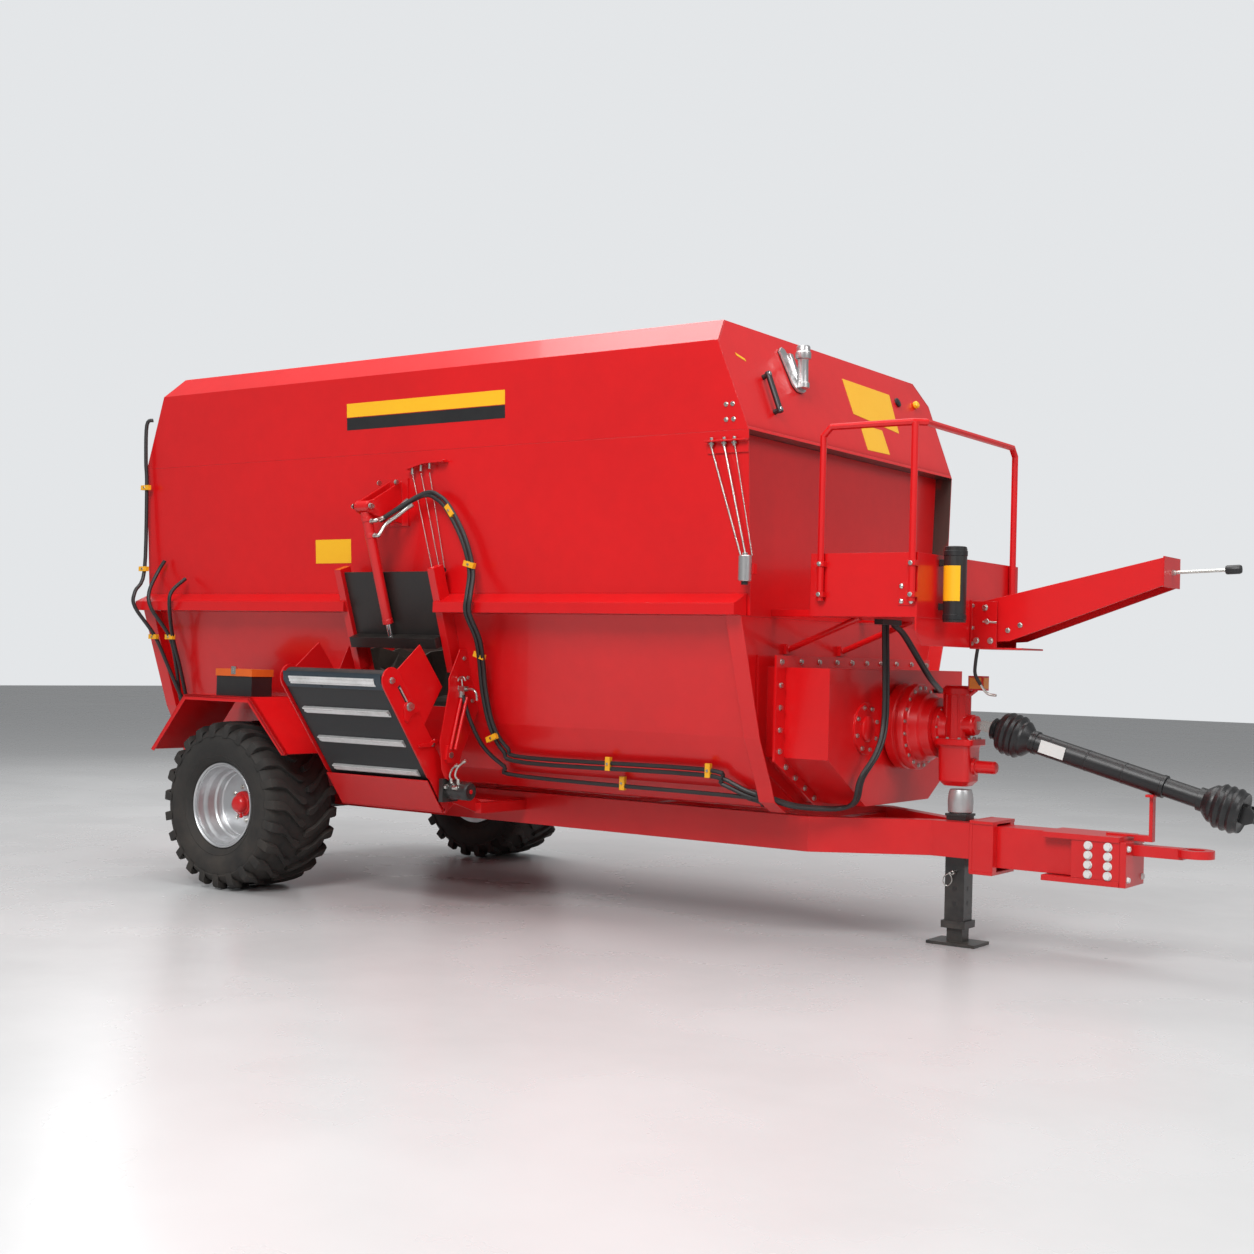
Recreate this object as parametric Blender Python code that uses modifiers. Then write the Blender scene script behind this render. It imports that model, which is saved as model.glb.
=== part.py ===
"""A trailed feed mixer wagon, in metres: X forward to the drawbar, Y to the left, Z up.

Places are given from the middle of the axle, on the ground. The last step moves the whole
machine so that its own box stands centred on the origin.
"""

import math

import bmesh
import bpy
from mathutils import Matrix, Vector

GAP = 0.0003  # between two pieces that touch
BITE = 0.003  # how far one welded shape goes into the next
WALL = 0.005  # sheet steel of the tub

# Wheels
TYRE_RADIUS = 0.466
TYRE_WIDTH = 0.50
RIM_RADIUS = 0.237
BEAD_RADIUS = 0.216
TRACK_HALF = 1.078
HUB_RADIUS = 0.070
AXLE_SIDE = 0.10

# Tub
TUB_REAR = -0.96
TUB_FRONT = 3.25
TOP_Z = 2.937
BEVEL_Z = 2.820
BASE_Z = 2.400  # where the extension sits on the side walls
RAIL_TOP_Z = 1.654
RAIL_EDGE_Z = 1.605
RAIL_LOW_Z = 1.553
FACET_Z = 0.985
FACET_LOW_Z = 0.735
TROUGH_LOW_Z = 0.618
TOP_HALF = 1.008
BEVEL_HALF = 1.128
BASE_HALF = 1.105
RAIL_IN_HALF = 1.068
RAIL_OUT_HALF = 1.170
RAIL_WALL_HALF = 1.052  # side wall where the rail sits
FACET_HALF = 0.860
FACET_LOW_HALF = 0.740
END_LEAN = 0.39  # how far the extension's end panels lean in, for each metre up
OVERHANG = 0.100  # of the extension past the end walls
LIP = 0.055  # folded edge of an end plate, past the walls
PLATE_REACH = 0.085  # of the lower end plates past the end walls

# Augers
AUGER_Y = 0.400
AUGER_Z = 1.020
AUGER_RADIUS = 0.350
AUGER_TUBE = 0.085
AUGER_PITCH = 0.560
FLIGHT = 0.012

# Discharge gate on the right side
GATE_X = 1.100
GATE_HALF = 0.310
GATE_HEIGHT = 0.400
GATE_TRAVEL = 0.370
GATE_STAND = 0.045  # of the gate's plate off the wall
GATE_PLATE = 0.010
GUIDE_WIDTH = 0.045
OPENING_LOW_Z = 1.060
OPENING_TOP_Z = 1.380
CYLINDER_X = 1.070
CYLINDER_RADIUS = 0.027
ROD_RADIUS = 0.014
ROD_SHOWS = 0.075  # of the rod below the barrel, with the gate up
BARREL_LENGTH = 0.600
GUIDE_PLAY = 0.0005  # between the gate and its guides

# Discharge conveyor
BELT_X = 1.090
BELT_HALF = 0.350
BELT_PIVOT_Y = -1.075
BELT_PIVOT_Z = 0.640
BELT_LENGTH = 0.700
BELT_TILT = math.radians(36.7)  # from upright, outwards
BELT_ROLLER = 0.045
SIDE_PLATE = 0.008
BELT_PLAY = 0.006  # between the belt's edge and a side plate
STUB_RADIUS = 0.020  # of the conveyor's lower pins
EAR = 0.012  # of the bracket's ears

# Chassis
RAIL_Y = 0.420
RAIL_WIDTH = 0.080
FRAME_TOP_Z = 0.600
FRAME_LOW_Z = 0.430
FRAME_REAR = -0.900
FRAME_BEND = 3.250
FRAME_NOSE = 3.740
DRAWBAR_HALF = 0.080
DRAWBAR_FRONT = 4.665
DRAWBAR_LOW_Z = 0.395
JACK_X = 3.835
JACK_TUBE = 0.100
JACK_LEG = 0.080
EYE_X = 4.970
EYE_Z = 0.535
EYE_RADIUS = 0.080
EYE_THICK = 0.036

# Drive at the front
HOUSING_BACK = 3.262
HOUSING_FRONT = 3.500
DRUM_FRONT = 3.720
DRIVE_Z = 1.043
SHAFT_X = 3.960
SHAFT_Z = 1.062
SHAFT_END_X = 5.230
SHAFT_END_Z = 0.714
TONGUE_HALF = 0.014
CROSS_PIN = 0.010
PIN_PLAY = 0.0005
SHAFT_RADIUS = 0.045

# Platform and rail at the front
PLATFORM_BACK = 3.420
PLATFORM_FRONT = 3.960
PLATFORM_RIGHT = -0.800
PLATFORM_LEFT = 0.350
PLATFORM_Z = 1.560
PLATFORM_TOP_Z = 1.850
HANDRAIL_Z = 2.430
HANDRAIL_RADIUS = 0.0165

# Arm at the front
ARM_X = 3.990
ARM_PIVOT_X = 4.030
ARM_PIVOT_Z = 1.625
ARM_RIGHT = -0.200
ARM_WIDTH = 0.220
ARM_LENGTH = 0.870
ARM_RISE = 0.200
ARM_PIN = 0.012

# Mudguards and toolbox
GUARD_OUT = 1.330
GUARD_IN = 0.920
GUARD_TOP_Z = 1.075
GUARD_SHEET = 0.004
BOX_REAR = -0.115
BOX_FRONT = 0.171
BOX_OUT = 1.250
BOX_IN = 1.100
BOX_HEIGHT = 0.110
LID_HEIGHT = 0.040
LID_HINGE = 0.003  # of the lid's axis behind the box

RED = (0.62, 0.035, 0.03, 1)
BLACK = (0.02, 0.02, 0.022, 1)
SILVER = (0.62, 0.63, 0.64, 1)
ORANGE = (0.75, 0.16, 0.02, 1)
RUBBER = (0.025, 0.025, 0.027, 1)

for old in list(bpy.data.objects):
    bpy.data.objects.remove(old)
machine = bpy.data.collections.new("feed_mixer_wagon")
bpy.context.scene.collection.children.link(machine)
helpers = bpy.data.collections.new("helpers")
helpers.hide_render = True
bpy.context.scene.collection.children.link(helpers)

# A flat outline's own X, Y and thickness, turned to these world axes
PLANES = {
    "xy": Matrix.Identity(3),
    "yz": Matrix(((0, 0, 1), (1, 0, 0), (0, 1, 0))),
    "xz": Matrix(((1, 0, 0), (0, 0, -1), (0, 1, 0))),
}


def put_in(obj, collection):
    for held in list(obj.users_collection):
        held.objects.unlink(obj)
    collection.objects.link(obj)


def mesh_object(name, mesh, collection=None):
    obj = bpy.data.objects.new(name, mesh)
    (collection or helpers).objects.link(obj)
    return obj


def as_mesh(obj):
    """The object's evaluated shape as a mesh object in world coordinates, its caps welded."""
    bpy.context.view_layer.update()
    graph = bpy.context.evaluated_depsgraph_get()
    mesh = bpy.data.meshes.new_from_object(obj.evaluated_get(graph))
    mesh.transform(obj.matrix_world)
    form = bmesh.new()
    form.from_mesh(mesh)
    bmesh.ops.remove_doubles(form, verts=form.verts, dist=0.00001)
    bmesh.ops.recalc_face_normals(form, faces=form.faces)
    form.to_mesh(mesh)
    form.free()
    name = obj.name
    bpy.data.objects.remove(obj)
    return mesh_object(name, mesh)


def box(x, y, z):
    """A box between the two ends given on each axis."""
    form = bmesh.new()
    bmesh.ops.create_cube(form, size=1)
    size = [abs(high - low) for low, high in (x, y, z)]
    middle = [(low + high) / 2 for low, high in (x, y, z)]
    bmesh.ops.scale(form, verts=form.verts, vec=size)
    bmesh.ops.translate(form, verts=form.verts, vec=middle)
    mesh = bpy.data.meshes.new("box")
    form.to_mesh(mesh)
    form.free()
    return mesh_object("box", mesh)


def flat(points, plane, start, stop):
    """A flat outline in a plane, thick from start to stop along the third axis."""
    curve = bpy.data.curves.new("flat", "CURVE")
    curve.dimensions = "2D"
    curve.fill_mode = "BOTH"
    curve.extrude = abs(stop - start) / 2
    spline = curve.splines.new("POLY")
    spline.points.add(len(points) - 1)
    for point, (first, second) in zip(spline.points, points):
        point.co = (first, second, 0, 1)
    spline.use_cyclic_u = True
    obj = bpy.data.objects.new("flat", curve)
    helpers.objects.link(obj)
    turn = PLANES[plane].to_4x4()
    third = -1 if plane == "xz" else 1
    obj.matrix_world = turn @ Matrix.Translation((0, 0, third * (start + stop) / 2))
    return as_mesh(obj)


def tube(points, radius, sides=2):
    """A round bar or tube through points."""
    curve = bpy.data.curves.new("tube", "CURVE")
    curve.dimensions = "3D"
    curve.bevel_depth = radius
    curve.bevel_resolution = sides
    curve.use_fill_caps = True
    spline = curve.splines.new("POLY")
    spline.points.add(len(points) - 1)
    for point, place in zip(spline.points, points):
        point.co = (*place, 1)
    obj = bpy.data.objects.new("tube", curve)
    helpers.objects.link(obj)
    return as_mesh(obj)


def turned(profile, centre, axis, steps=32, closed=False):
    """A turned solid: profile of (radius, height) from the top down, along an axis."""
    mesh = bpy.data.meshes.new("turned")
    edges = [(i, i + 1) for i in range(len(profile) - 1)]
    if closed:
        edges.append((len(profile) - 1, 0))
    mesh.from_pydata([(radius, 0, height) for radius, height in profile], edges, [])
    obj = mesh_object("turned", mesh)
    screw = obj.modifiers.new("Turn", "SCREW")
    screw.steps = steps
    screw.render_steps = steps
    screw.use_merge_vertices = True
    screw.merge_threshold = 0.0001
    turn = Vector((0, 0, 1)).rotation_difference(Vector(axis)).to_matrix().to_4x4()
    obj.matrix_world = Matrix.Translation(centre) @ turn
    return as_mesh(obj)


def rod(start, end, radius, steps=24):
    """A round solid from one point to another."""
    line = Vector(end) - Vector(start)
    return turned([(0, line.length), (radius, line.length), (radius, 0), (0, 0)], start, line, steps)


def finish(obj, name, colour, rough=0.45, metal=0.0, pivot=None):
    """Names a sub-part, gives it its material and puts its origin on its joint's axis."""
    obj.name = name
    obj.data.name = name
    put_in(obj, machine)
    material = bpy.data.materials.new(name)
    material.use_nodes = True
    shader = material.node_tree.nodes["Principled BSDF"]
    shader.inputs["Base Color"].default_value = colour
    shader.inputs["Roughness"].default_value = rough
    shader.inputs["Metallic"].default_value = metal
    obj.data.materials.clear()
    obj.data.materials.append(material)
    obj.data.shade_smooth()
    obj.data.set_sharp_from_angle(angle=math.radians(35))
    if pivot is not None:
        obj.data.transform(Matrix.Translation(-Vector(pivot)))
        obj.location = pivot
    return obj


def boolean(obj, others, operation):
    """Joins the others to an object, or cuts them from it."""
    held = bpy.data.collections.new(obj.name + " " + operation.lower())
    held.hide_render = True
    helpers.children.link(held)
    for other in others:
        put_in(other, held)
        other.hide_render = True
        other.display_type = "WIRE"
    step = obj.modifiers.new(operation.title(), "BOOLEAN")
    step.operation = operation
    step.solver = "EXACT"
    step.operand_type = "COLLECTION"
    step.collection = held
    return obj


def fused(pieces):
    return boolean(pieces[0], pieces[1:], "UNION") if len(pieces) > 1 else pieces[0]


def cut(obj, cutters):
    return boolean(obj, cutters, "DIFFERENCE")


def mirrored(points):
    """A half outline given for the left, completed on the right."""
    return points + [(-across, up) for across, up in reversed(points)]


def lean_at(z):
    """Half width of the tub's outer face at a height."""
    heights = (
        (FACET_LOW_Z, FACET_LOW_HALF),
        (FACET_Z, FACET_HALF),
        (RAIL_LOW_Z, RAIL_WALL_HALF),
        (BASE_Z, BASE_HALF),
        (BEVEL_Z, BEVEL_HALF),
        (TOP_Z, TOP_HALF),
    )
    for (low, near), (high, far) in zip(heights, heights[1:]):
        if z <= high or high == TOP_Z:
            return near + (far - near) * (z - low) / (high - low)
    return TOP_HALF


WALL_LEAN = (RAIL_WALL_HALF - FACET_HALF) / (RAIL_LOW_Z - FACET_Z)
LEAN_ANGLE = math.atan(WALL_LEAN)
DOWN = Vector((0, math.sin(LEAN_ANGLE), -math.cos(LEAN_ANGLE)))  # along the right wall, downwards
OUT = Vector((0, -math.cos(LEAN_ANGLE), -math.sin(LEAN_ANGLE)))  # square to the right wall, outwards


def on_wall(x, z, stand):
    """A point off the right lower wall's own plane, at a height."""
    foot = Vector((x, -(FACET_HALF + WALL_LEAN * (z - FACET_Z)), z))
    return foot + OUT * stand


def slab(x, low_z, high_z, stand):
    """A slab along the right lower wall: x ends, heights and stand-off ends."""
    corners = [on_wall(0, z, s) for z, s in ((low_z, stand[0]), (high_z, stand[0]), (high_z, stand[1]), (low_z, stand[1]))]
    return flat([(corner.y, corner.z) for corner in corners], "yz", x[0], x[1])


def make_wheel(side, name):
    """Tyre, rim and hub of one wheel; side is 1 on the left and -1 on the right."""
    centre = (0, side * TRACK_HALF, TYRE_RADIUS)
    axis = (0, side, 0)
    half = TYRE_WIDTH / 2
    bead = half - 0.050
    shoulder = [
        (TYRE_RADIUS, half * 0.62),
        (TYRE_RADIUS - 0.006, half * 0.80),
        (TYRE_RADIUS - 0.022, half * 0.93),
        (TYRE_RADIUS - 0.060, half),
        (TYRE_RADIUS - 0.115, half),
        (RIM_RADIUS + 0.055, half * 0.96),
        (RIM_RADIUS + 0.012, half * 0.86),
        (RIM_RADIUS, bead - GAP),
        (BEAD_RADIUS + GAP, bead - GAP),
    ]
    outline = list(reversed([(radius, across) for radius, across in shoulder]))
    ring = outline + [(radius, -across) for radius, across in shoulder]
    tyre = turned(ring, centre, axis, 48, closed=True)
    finish(tyre, "tyre_" + name, RUBBER, 0.8, pivot=centre)
    flange = 0.012
    dish = 0.045
    disc = 0.012
    rim_profile = [
        (RIM_RADIUS, bead + flange),
        (RIM_RADIUS, bead),
        (BEAD_RADIUS, bead),
        (BEAD_RADIUS, -bead),
        (RIM_RADIUS, -bead),
        (RIM_RADIUS, -bead - flange),
        (BEAD_RADIUS - 0.008, -bead - flange),
        (BEAD_RADIUS - 0.008, dish - disc),
        (HUB_RADIUS + GAP, dish - disc),
        (HUB_RADIUS + GAP, dish),
        (BEAD_RADIUS - 0.035, dish),
        (BEAD_RADIUS - 0.012, dish + 0.050),
        (BEAD_RADIUS - 0.010, bead + flange),
    ]
    rim = turned(rim_profile, centre, axis, 48, closed=True)
    finish(rim, "rim_" + name, SILVER, 0.4, 0.6, pivot=centre)
    back = -0.060
    hub_profile = [
        (0, 0.112),
        (0.012, 0.112),
        (0.012, 0.104),
        (0.042, 0.100),
        (0.055, 0.085),
        (0.055, 0.066),
        (HUB_RADIUS, 0.062),
        (HUB_RADIUS, dish - disc - GAP),
        (0.125, dish - disc - GAP),
        (0.125, dish - disc - 0.014),
        (HUB_RADIUS, dish - disc - 0.022),
        (HUB_RADIUS, back),
        (0, back),
    ]
    hub = turned(hub_profile, centre, axis, 32)
    finish(hub, "hub_" + name, RED, 0.4, pivot=centre)


def make_chassis():
    """Two rails that close in at the front, with cross members, and the axle through them."""
    half = RAIL_WIDTH / 2
    rails = []
    nose_y = DRAWBAR_HALF + 0.010
    for side in (1, -1):
        outline = [
            (FRAME_REAR, side * (RAIL_Y - half)),
            (FRAME_BEND, side * (RAIL_Y - half)),
            (FRAME_NOSE, side * (nose_y - half)),
            (FRAME_NOSE + 0.20, side * (nose_y - half)),
            (FRAME_NOSE + 0.20, side * (nose_y + half)),
            (FRAME_NOSE, side * (nose_y + half)),
            (FRAME_BEND, side * (RAIL_Y + half)),
            (FRAME_REAR, side * (RAIL_Y + half)),
        ]
        rails.append(flat(outline, "xy", FRAME_LOW_Z, FRAME_TOP_Z))
    inner = RAIL_Y - half + BITE
    crosses = [
        box((x, x + 0.06), (-inner, inner), (FRAME_LOW_Z + 0.03, FRAME_TOP_Z - 0.03))
        for x in (FRAME_REAR, 0.95, 2.10, FRAME_BEND - 0.06)
    ]
    frame = fused(rails + crosses)
    hole = AXLE_SIDE / 2 + GAP
    reach = RAIL_Y + RAIL_WIDTH
    slot = box((-hole, hole), (-reach, reach), (TYRE_RADIUS - hole, TYRE_RADIUS + hole))
    cut(frame, [slot])
    finish(frame, "chassis_frame", RED)
    end = TRACK_HALF - 0.060 - GAP
    beam = box((-AXLE_SIDE / 2, AXLE_SIDE / 2), (-end + 0.12, end - 0.12), (TYRE_RADIUS - AXLE_SIDE / 2, TYRE_RADIUS + AXLE_SIDE / 2))
    stubs = rod((0, -end, TYRE_RADIUS), (0, end, TYRE_RADIUS), 0.045)
    drums = [rod((0, side * (end - 0.09), TYRE_RADIUS), (0, side * (end - 0.02), TYRE_RADIUS), 0.150, 32) for side in (1, -1)]
    finish(fused([beam, stubs] + drums), "axle_beam", BLACK)


def make_drawbar():
    """Beam, sleeve for the jack, bolted plates, tow eye and the parking jack."""
    back = FRAME_NOSE + 0.20 + GAP
    beam = box((back, DRAWBAR_FRONT), (-DRAWBAR_HALF, DRAWBAR_HALF), (DRAWBAR_LOW_Z, FRAME_TOP_Z - 0.01))
    plate = box((back, back + 0.015), (-0.13, 0.13), (DRAWBAR_LOW_Z - 0.03, FRAME_TOP_Z + 0.015))
    end = box((DRAWBAR_FRONT - 0.02, DRAWBAR_FRONT), (-0.125, 0.125), (0.365, 0.570))
    finish(fused([beam, plate, end]), "drawbar", RED)
    front = DRAWBAR_FRONT + GAP
    pad = box((front, front + 0.03), (-0.125, 0.125), (0.365, 0.570))
    shank = box((front + 0.02, EYE_X - 0.05), (-0.035, 0.035), (EYE_Z - 0.03, EYE_Z + 0.02))
    ring = turned(
        [(EYE_RADIUS, EYE_THICK / 2), (EYE_RADIUS, -EYE_THICK / 2), (0.040, -EYE_THICK / 2), (0.040, EYE_THICK / 2)],
        (EYE_X, 0, EYE_Z), (0, 0, 1), 32, closed=True,
    )
    finish(fused([pad, shank, ring]), "tow_eye", BLACK)
    half = JACK_TUBE / 2
    leg = JACK_LEG / 2
    outer = box((JACK_X - half, JACK_X + half), (-half, half), (0.110, 0.620))
    collar = box((JACK_X - half - 0.012, JACK_X + half + 0.012), (-half - 0.012, half + 0.012), (0.080, 0.115))
    inner = box((JACK_X - leg, JACK_X + leg), (-leg, leg), (0.010, 0.12))
    foot = box((JACK_X - 0.125, JACK_X + 0.125), (-0.09, 0.09), (0, 0.014))
    cap = rod((JACK_X, 0, 0.61), (JACK_X, 0, 0.745), 0.035)
    finish(fused([outer, collar, inner, foot, cap]), "parking_jack", BLACK)


def tub_outline():
    """Outer half outline of the trough, from the rail down to the middle."""
    return [
        (lean_at(RAIL_LOW_Z), RAIL_LOW_Z),
        (FACET_HALF, FACET_Z),
        (FACET_LOW_HALF, FACET_LOW_Z),
        (0.600, 0.645),
        (RAIL_Y, TROUGH_LOW_Z),
        (0.200, 0.665),
        (0.000, 0.735),
    ]


def inner_line(points, wall):
    """The same line a wall's thickness further in."""
    inner = []
    for index, (across, up) in enumerate(points):
        before = points[max(index - 1, 0)]
        after = points[min(index + 1, len(points) - 1)]
        along = Vector((after[0] - before[0], after[1] - before[1])).normalized()
        side = Vector((along.y, -along.x))
        inner.append((across + side.x * wall, up + side.y * wall))
    inner[0] = (inner[0][0], points[0][1])
    return inner


def make_trough():
    """The mixing trough below the rail: one folded sheet, open for the gate on the right."""
    half = tub_outline()
    inner = inner_line(half, WALL)
    inner[-1] = (0, half[-1][1] + WALL)
    outer_line = half + [(-across, up) for across, up in reversed(half[:-1])]
    inner_all = inner + [(-across, up) for across, up in reversed(inner[:-1])]
    sheet = flat(outer_line + list(reversed(inner_all)), "yz", TUB_REAR + OVERHANG + GAP, TUB_FRONT - OVERHANG - GAP)
    mouth = slab((GATE_X - GATE_HALF + 0.02, GATE_X + GATE_HALF - 0.02), OPENING_LOW_Z, OPENING_TOP_Z, (-0.05, 0.05))
    cut(sheet, [mouth])
    finish(sheet, "trough", RED)


def make_walls():
    """The side walls above the rail, the end walls, the end plates and the rails."""
    rear = TUB_REAR + OVERHANG
    front = TUB_FRONT - OVERHANG
    low = RAIL_LOW_Z + GAP
    high = BASE_Z - GAP
    for side, name in ((1, "left"), (-1, "right")):
        outline = [
            (side * (lean_at(low) - WALL), low),
            (side * lean_at(low), low),
            (side * lean_at(high), high),
            (side * (lean_at(high) - WALL), high),
        ]
        wall = flat(outline, "yz", TUB_REAR, TUB_FRONT)
        finish(wall, "side_wall_" + name, RED)
        rail = [
            (side * (RAIL_WALL_HALF + 0.008), RAIL_TOP_Z),
            (side * RAIL_OUT_HALF, RAIL_EDGE_Z),
            (side * RAIL_OUT_HALF, RAIL_LOW_Z),
            (side * (RAIL_WALL_HALF + 0.008), RAIL_LOW_Z),
        ]
        if side == 1:
            finish(flat(rail, "yz", rear - PLATE_REACH, front + PLATE_REACH), "mid_rail_left", RED)
    reach = BASE_HALF - WALL - GAP
    for name, inside, out in (("rear", rear, -1), ("front", front, 1)):
        inner_x = inside
        upper = [
            (lean_at(high) - WALL - GAP, high),
            (lean_at(low) - WALL - GAP, low),
        ]
        outline = mirrored(upper)
        plate = flat(outline, "yz", inner_x, inner_x + out * WALL)
        finish(plate, "end_wall_" + name, RED)
        lower = end_plate_outline(LIP)
        face = flat(mirrored(lower), "yz", inner_x, inner_x + out * WALL)
        rim_out = flat(mirrored(lower), "yz", inner_x, inner_x + out * PLATE_REACH)
        rim_in = flat(mirrored(end_plate_outline(LIP - WALL * 1.2)), "yz", inner_x + out * WALL, inner_x + out * (PLATE_REACH + 0.01))
        cut(rim_out, [rim_in])
        finish(rim_out, "end_plate_" + name, RED)
        bpy.data.objects.remove(face)


def end_plate_outline(lip):
    """Half outline of a lower end plate, its edge folded a lip past the walls."""
    high = RAIL_LOW_Z - GAP
    return [
        (lean_at(high) + lip, high),
        (FACET_HALF + lip, FACET_Z),
        (FACET_LOW_HALF + lip, FACET_LOW_Z + 0.02),
        (FACET_LOW_HALF + lip * 0.4, FACET_LOW_Z - lip),
        (0.640 + lip * 0.2, TROUGH_LOW_Z + 0.008 - GAP),
    ]


def make_extension():
    """The four leaning panels on top, the long ones with a bevelled upper strip."""
    for side, name in ((1, "left"), (-1, "right")):
        outline = [
            (side * BASE_HALF, BASE_Z),
            (side * BEVEL_HALF, BEVEL_Z),
            (side * TOP_HALF, TOP_Z),
            (side * (TOP_HALF - 0.004), TOP_Z - 0.004),
            (side * (BEVEL_HALF - WALL), BEVEL_Z - 0.002),
            (side * (BASE_HALF - WALL), BASE_Z),
        ]
        panel = flat(outline, "yz", TUB_REAR - 0.1, TUB_FRONT + 0.1)
        ends = []
        for end, out in ((TUB_REAR, -1), (TUB_FRONT, 1)):
            rise = TOP_Z - BASE_Z + 0.2
            base = BASE_Z - 0.1
            start = end + out * (END_LEAN * 0.1)
            ends.append(
                flat(
                    [(start, base), (start - out * END_LEAN * rise, base + rise), (end + out * 0.3, base + rise), (end + out * 0.3, base)],
                    "xz", -1.3, 1.3,
                )
            )
        cut(panel, ends)
        finish(panel, "extension_" + name, RED)
    for end, out, name in ((TUB_REAR, -1, "rear"), (TUB_FRONT, 1, "front")):
        top_x = end - out * END_LEAN * (TOP_Z - BASE_Z)
        wall = WALL * 1.1
        shelf = 0.004
        panel = flat(
            [
                (end - out * GAP, BASE_Z + GAP),
                (top_x - out * GAP, TOP_Z),
                (top_x - out * (wall + GAP), TOP_Z),
                (end - out * (wall + GAP), BASE_Z + shelf + 0.01),
                (end - out * (OVERHANG + 0.02), BASE_Z + shelf + 0.01),
                (end - out * (OVERHANG + 0.02), BASE_Z + GAP),
            ],
            "xz", -1.25, 1.25,
        )
        inner = flat(
            mirrored([(BASE_HALF - WALL - GAP, BASE_Z - 0.01), (BASE_HALF - WALL - GAP, BASE_Z), (BEVEL_HALF - WALL - GAP, BEVEL_Z - 0.004), (TOP_HALF - 0.006, TOP_Z - 0.004), (TOP_HALF - 0.006, TOP_Z + 0.1)]),
            "yz", end - 0.5, end + 0.5,
        )
        keep = panel.modifiers.new("Trim", "BOOLEAN")
        keep.operation = "INTERSECT"
        keep.solver = "EXACT"
        keep.object = inner
        inner.hide_render = True
        inner.display_type = "WIRE"
        finish(panel, "extension_" + name, RED)


def flight(centre_y, start_x, end_x, hand):
    """One helical flight along X as a closed blade."""
    turns = abs(end_x - start_x) / AUGER_PITCH
    form = bmesh.new()
    inner = AUGER_TUBE - 0.01
    places = [(start_x, inner), (start_x, AUGER_RADIUS), (start_x + FLIGHT, AUGER_RADIUS), (start_x + FLIGHT, inner)]
    corners = [form.verts.new((x, centre_y, AUGER_Z + radius)) for x, radius in places]
    face = form.faces.new(corners)
    steps = int(turns * 16)
    bmesh.ops.spin(
        form,
        geom=[face] + list(face.edges) + corners,
        cent=(0, centre_y, AUGER_Z),
        axis=(1, 0, 0),
        dvec=((end_x - start_x - FLIGHT) / steps, 0, 0),
        angle=hand * turns * 2 * math.pi,
        steps=steps,
    )
    bmesh.ops.holes_fill(form, edges=form.edges, sides=4)
    bmesh.ops.recalc_face_normals(form, faces=form.faces)
    mesh = bpy.data.meshes.new("flight")
    form.to_mesh(mesh)
    form.free()
    return mesh_object("flight", mesh)


def make_augers():
    rear = TUB_REAR + OVERHANG + GAP
    front = TUB_FRONT - OVERHANG - GAP
    for side, name in ((1, "left"), (-1, "right")):
        y = side * AUGER_Y
        core = rod((rear, y, AUGER_Z), (front, y, AUGER_Z), AUGER_TUBE, 20)
        back = flight(y, rear + 0.04, GATE_X - 0.20, side)
        fore = flight(y, GATE_X + 0.20, front - 0.04, -side)
        obj = fused([core, back, fore])
        finish(obj, "auger_" + name, RED, pivot=(GATE_X, y, AUGER_Z))


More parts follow.
